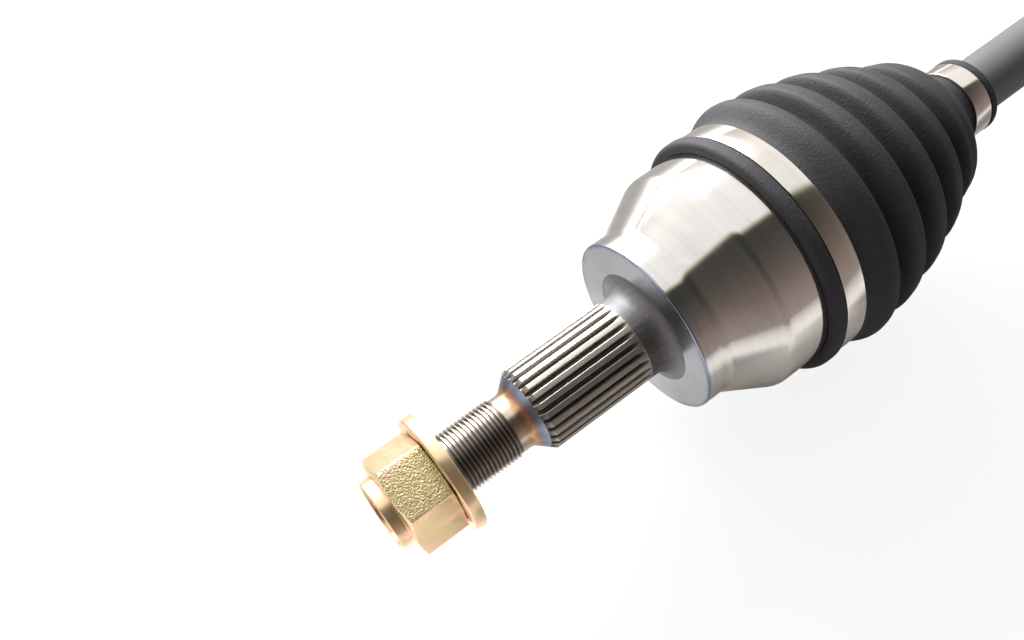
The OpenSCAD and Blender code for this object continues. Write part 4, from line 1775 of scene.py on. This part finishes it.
@dataclass
class TripodHousing:
    """Housing of the sliding joint with its stub, boss and splines.

    Attributes:
        mouth: Station of the open end.
        seat: Radius of the boot's seat.
        seat_back: Station where the boot's seat ends.
        radius: Outer radius.
        back: Station of the closed end's outer face.
        track_end: Station of the closed end's inner face.
        boss: Radius of the boss.
        boss_back: Station of the boss's end.
        seal: Radius of the ground land for the seal.
        seal_back: Station of the land's end.
        bore: Radius of the hollow between the tracks.
        roller: Radius and width of the room for a roller, and its distance from the axis.
        reach: Reach of a track.
        spline: Radius over the splines.
        spline_depth: Depth of a spline groove.
        spline_front: Station where the splines' grooves end.
        spline_count: Number of splines.
        end: Station of the stub's end.
        wire: Station and floor radius of the groove for the wire ring.
        mouth_cone: Radius and length of the cone in the mouth.
    """

    mouth: float = 379.5
    seat: float = 36.7
    seat_back: float = 389.7
    radius: float = 37.5
    back: float = 461.0
    track_end: float = 454.0
    boss: float = 20.0
    boss_back: float = 470.0
    seal: float = 17.5
    seal_back: float = 496.0
    bore: float = 20.0
    roller: tuple[float, float] = (15.6, 21.0)
    reach: float = 29.6
    spline: float = 13.6
    spline_depth: float = 1.4
    spline_front: float = 500.0
    spline_count: int = 27
    end: float = 534.0
    wire: tuple[float, float] = (527.0, 12.0)
    mouth_cone: tuple[float, float] = (25.8, 26.5)

    def build(self, palette: Palette) -> None:
        """Makes the housing and its splines.

        Args:
            palette: The shaft's materials.
        """
        attach(self._body(palette), "housing", "machined_steel", "tripod_housing")
        place, low = self.wire
        rims = [(self.end, self.spline - 1.5), (self.end - 1.5, self.spline)]
        rims += [(place + 1.12, self.spline), (place + 1.1, low)]
        rims += [(place - 1.1, low), (place - 1.12, self.spline)]
        grooves = (self.spline_front, self.spline, self.spline_depth, self.spline_count)
        teeth = SplineTeeth("gearbox_splines", rims, *grooves)
        attach(teeth.build(palette.gear_oiled), "housing", "machined_steel")
        root = self.spline - self.spline_depth - 0.05
        core = [
            Corner(self.spline_front - 1, 0),
            Corner(self.spline_front - 1, root - 0.3),
            Corner(self.end - 0.2, root - 0.3),
            Corner(self.end, root - 1.6, 0.3),
            Corner(self.end - 3.2, 1.8),
            Corner(self.end - 5, 0),
        ]
        attach(turned("gearbox_stub_core", core, [palette.machined], 96), "housing", "machined_steel")

    def _body(self, palette: Palette) -> bpy.types.Object:
        """Turns the housing and presses its hollow into three tracks.

        Args:
            palette: The shaft's materials.

        Returns:
            The housing.
        """
        placeholder = 24.0
        mouth_radius, mouth_length = self.mouth_cone
        machined, ground = 0, 1
        corners = [
            Corner(self.mouth, self.seat - 0.8, 0, machined),
            Corner(self.mouth + 0.8, self.seat, 0, machined),
            Corner(self.seat_back, self.seat, 0, machined),
            Corner(self.seat_back + 0.4, self.radius, 0, machined),
            Corner(self.back, self.radius, 7.0, machined),
            Corner(self.back, self.boss, 1.5, machined),
            Corner(self.boss_back, self.boss, 0.8, machined),
            Corner(self.boss_back, self.seal, 0.4, ground),
            Corner(self.seal_back - 1.5, self.seal, 0.5, ground),
            Corner(self.seal_back, self.spline, 0.4, machined),
            Corner(self.spline_front, self.spline, 0, machined),
            Corner(self.spline_front, 0, 0, machined),
            Corner(self.track_end, 0, 0, machined),
            Corner(self.track_end, placeholder, 0, machined),
            Corner(self.mouth + mouth_length, placeholder, 0, machined),
            Corner(self.mouth + 13, placeholder, 0, machined),
            Corner(self.mouth, placeholder, 0, machined),
        ]
        shape = bmesh.new()
        spin_outline(shape, rounded(corners, 6), 288)
        bmesh.ops.remove_doubles(shape, verts=shape.verts, dist=1e-4)
        for vertex in shape.verts:
            radius, angle = around(vertex)
            if abs(radius - placeholder) > 1e-3:
                continue
            fall = (self.bore - mouth_radius - 0.1) * (vertex.co.x - self.mouth) / mouth_length
            cone = mouth_radius + fall
            set_radius(vertex, max(self._hollow(math.degrees(angle)), cone))
        return finished("housing_body", shape, [palette.machined, palette.ground])

    def _hollow(self, angle: float) -> float:
        """Radius of the hollow at this angle.

        Args:
            angle: Angle round the shaft in degrees.

        Returns:
            The radius.
        """
        room, distance = self.roller
        aside = math.radians((angle + 60) % 120 - 60)
        across = distance * math.sin(aside)
        if abs(across) >= room:
            return self.bore
        track = distance * math.cos(aside) + math.sqrt(room**2 - across**2)
        return max(self.bore, min(track, self.reach / math.cos(aside)))


@dataclass
class DustShield:
    """Sheet ring pressed onto the housing's boss.

    Attributes:
        front: Station of the sleeve's front.
        back: Station of the disc's outer face.
        bore: Radius of the sleeve's bore.
        radius: Radius of the disc.
        sheet: Thickness of the sheet.
    """

    front: float = 463.0
    back: float = 469.0
    bore: float = 20.05
    radius: float = 28.5
    sheet: float = 1.3

    def build(self, palette: Palette) -> None:
        """Turns the ring.

        Args:
            palette: The shaft's materials.
        """
        corners = [
            Corner(self.front, self.bore, 0.2),
            Corner(self.front, self.bore + self.sheet, 0.3),
            Corner(self.back - self.sheet, self.bore + self.sheet, 0.7),
            Corner(self.back - self.sheet, self.radius, 0.4),
            Corner(self.back, self.radius, 0.4),
            Corner(self.back, self.bore, 1.8),
        ]
        shield = turned("boss_shield", corners, [palette.sheet], 160)
        attach(shield, "housing", "shield_steel", "dust_shield")


def dress(node: str, material: bpy.types.Material) -> None:
    """Gives a CAD node's object a better material.

    Args:
        node: Name of the node.
        material: The material.
    """
    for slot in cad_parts[node].material_slots:
        slot.material = material


@dataclass
class InnerParts:
    """Hidden CAD nodes that keep their CAD shape."""

    def build(self, palette: Palette) -> None:
        """Dresses the nodes.

        Args:
            palette: The shaft's materials.
        """
        rings = ["race_ring", "spider_rings", "housing_ring", "gearbox_ring"]
        rollers = [f"{kind}_{i}" for kind in ("roller", "needles") for i in (1, 2, 3)]
        looks = {
            "dark": ["ball_cage", "roller_keepers", *rings],
            "bright": ["joint_balls", *rollers],
            "machined": ["inner_race", "tripod_spider"],
        }
        for look, nodes in looks.items():
            for node in nodes:
                dress(node, getattr(palette, look))


# --- stage ------------------------------------------------------------------------------------


@dataclass
class Studio:
    """Camera, floor and light.

    Attributes:
        along: The shaft's axis in the camera's own axes, right, down and forward.
        shoulder: The shoulder's centre in the camera's own axes, in millimetres.
        lens: Focal length in millimetres on a 36 mm sensor.
        floor: Height of the floor in millimetres.
    """

    along: Vector = field(default_factory=lambda: Vector((0.7941, -0.5506, 0.2574)).normalized())
    shoulder: Vector = field(default_factory=lambda: Vector((44.49, 2.57, 357.83)))
    lens: float = 36.914
    floor: float = -49.6

    def build(self) -> None:
        """Sets up the stage."""
        self._camera()
        self._floor()
        self._world()
        self._lamp("side_softbox", (0.16, 0.99, 0.38), (0.06, 0, 0), 0.7, 46)
        bpy.context.scene.view_settings.view_transform = "Standard"

    def _camera(self) -> None:
        """Places the camera from the shaft's place in its view."""
        tilt = math.atan2(-self.along.y, self.along.z)
        up = Vector((0, -math.cos(tilt), -math.sin(tilt)))
        side = up.cross(self.along)
        axes = [self.along, side, up]
        spot = Vector([-self.shoulder.dot(axis) * MM for axis in axes])
        columns = [Vector([axis[i] * sign for axis in axes]) for i, sign in ((0, 1), (1, -1), (2, -1))]
        turn = Matrix(columns).transposed()
        data = bpy.data.cameras.new("camera")
        data.lens = self.lens
        data.sensor_width = 36
        data.clip_start = 0.01
        camera = bpy.data.objects.new("camera", data)
        camera.matrix_world = Matrix.Translation(spot) @ turn.to_4x4()
        bpy.context.scene.collection.objects.link(camera)
        bpy.context.scene.camera = camera

    def _floor(self) -> None:
        """Lays a wide pale floor that keeps the shadow and looks white to the camera; to reflection and
        bounce rays its colour carries a painted shadow in a strip under the shaft and a painted dark band
        on the positive Y side, which the metal reflects.
        """
        shape = bmesh.new()
        bmesh.ops.create_grid(shape, x_segments=1, y_segments=1, size=6000)
        bmesh.ops.translate(shape, vec=(200, 0, self.floor), verts=shape.verts)
        r = recipe_for("floor_white")
        place = r.place()
        aside = r.axis(place, "Y")
        near = 1.0 - aside.over(0.03, 0.14)
        far = aside.over(0.3, 0.3)
        farthest = aside.over(0.85, 0.5)
        strip = aside.over(-0.2, 0.1)
        # Painted shadow along the shaft: darker under the stub and again from about 90 mm on, under the
        # boot and the bar.
        along = r.ramp(
            r.axis(place, "X") * 4.0 + 0.4,
            [
                (0.06, (0.97, 0.97, 0.97, 1)),
                (0.15, (0.46, 0.46, 0.46, 1)),
                (0.35, (0.46, 0.46, 0.46, 1)),
                (0.46, (0.95, 0.95, 0.95, 1)),
                (0.76, (0.95, 0.95, 0.95, 1)),
                (0.98, (0.32, 0.32, 0.32, 1)),
            ],
        )
        seen = r.node("ShaderNodeLightPath", output="Is Camera Ray")
        # Painted reflection: darkest just past the shaft on the positive Y side, lightening farther out,
        # for the metal to reflect.
        aft = r.mix(far, (0.23, 0.225, 0.22, 1), (0.66, 0.65, 0.64, 1))
        aft = r.mix(farthest, aft, (1, 1, 1, 1))
        fore = r.mix(strip, (0.92, 0.905, 0.89, 1), r.stretched(along, (0.95, 0.935, 0.92)))
        painted_shade_tone = r.mix(near, aft, fore)
        # The camera sees plain pale paper; only reflection and bounce rays see the painted shade.
        pale = r.mix(seen, painted_shade_tone, (0.86, 0.86, 0.86, 1))
        paper = r.node("ShaderNodeBsdfDiffuse", None, {"Color": pale})
        glow = r.node("ShaderNodeEmission", None, {"Color": (1, 1, 1, 1), "Strength": 1.0})
        both = r.node("ShaderNodeMixShader", None, {0: seen * 0.88, 1: paper, 2: glow})
        r.node_output("ShaderNodeOutputMaterial", both)
        finished("floor", shape, [r.owner])

    def _world(self) -> None:
        """Fills the room with a large soft window of light on one side and a dim wall on the other."""
        world = bpy.data.worlds.new("studio")
        bpy.context.scene.world = world
        r = Recipe(world)
        way = r.node("ShaderNodeTexCoord", output="Generated")
        height = r.axis(way, "Z")
        dim = r.ramp(
            height,
            [
                (0.0, (0.38, 0.32, 0.29, 1)),
                (0.28, (0.3, 0.24, 0.22, 1)),
                (0.5, (0.2, 0.155, 0.14, 1)),
                (0.72, (0.11, 0.095, 0.085, 1)),
                (0.93, (0.045, 0.046, 0.041, 1)),
            ],
        )
        window = (r.axis(way, "Y") + 0.09 * r.axis(way, "X")).over(0.055, 0.11)
        edge = r.ramp(window, [(0.0, (0, 0, 0, 1)), (0.4, (0.36, 0.32, 0.17, 1)), (1.0, (1, 1, 1, 1))])
        lit = r.mix(height.over(0.22, 0.5) * 0.6 + 0.4, (0, 0, 0, 1), edge)
        adding = {"data_type": "RGBA", "blend_type": "ADD"}
        light = r.node("ShaderNodeMix", adding, {0: 1.0, 6: dim, 7: lit}, 2)
        seen = r.node("ShaderNodeLightPath", output="Is Camera Ray")
        glow = r.node("ShaderNodeBackground", None, {"Color": light, "Strength": 1.2})
        white = r.node("ShaderNodeBackground", None, {"Color": (1, 1, 1, 1), "Strength": 1.0})
        room = r.node("ShaderNodeMixShader", None, {0: seen, 1: glow, 2: white})
        r.node_output("ShaderNodeOutputWorld", room)

    def _lamp(
        self,
        name: str,
        spot: tuple[float, float, float],
        aim: tuple[float, float, float],
        size: float,
        power: float,
    ) -> None:
        """Hangs a soft area light.

        Args:
            name: Name of the lamp.
            spot: Place in metres.
            aim: Point that it faces, in metres.
            size: Side in metres.
            power: Power in watts.
        """
        data = bpy.data.lights.new(name, "AREA")
        data.energy = power
        data.size = size
        lamp = bpy.data.objects.new(name, data)
        lamp.location = spot
        lamp.rotation_euler = (Vector(aim) - Vector(spot)).to_track_quat("-Z", "Y").to_euler()
        bpy.context.scene.collection.objects.link(lamp)


def main() -> None:
    """Builds the shaft from the wheel end to the gearbox end, and the studio round it."""
    logging.basicConfig(level=logging.INFO, format="%(name)s: %(message)s")
    build_steps: list[Callable[[Palette], None]] = [
        HubThread().build,
        HubSplines().build,
        BellForging().build,
        HubNut().build,
        CaptiveWasher().build,
        WheelBoot().build,
        Bar().build,
        GearboxBoot().build,
        TripodHousing().build,
        DustShield().build,
        InnerParts().build,
    ]
    palette = Palette()
    for step in build_steps:
        step(palette)
    Studio().build()


if __name__ == "__main__":
    main()
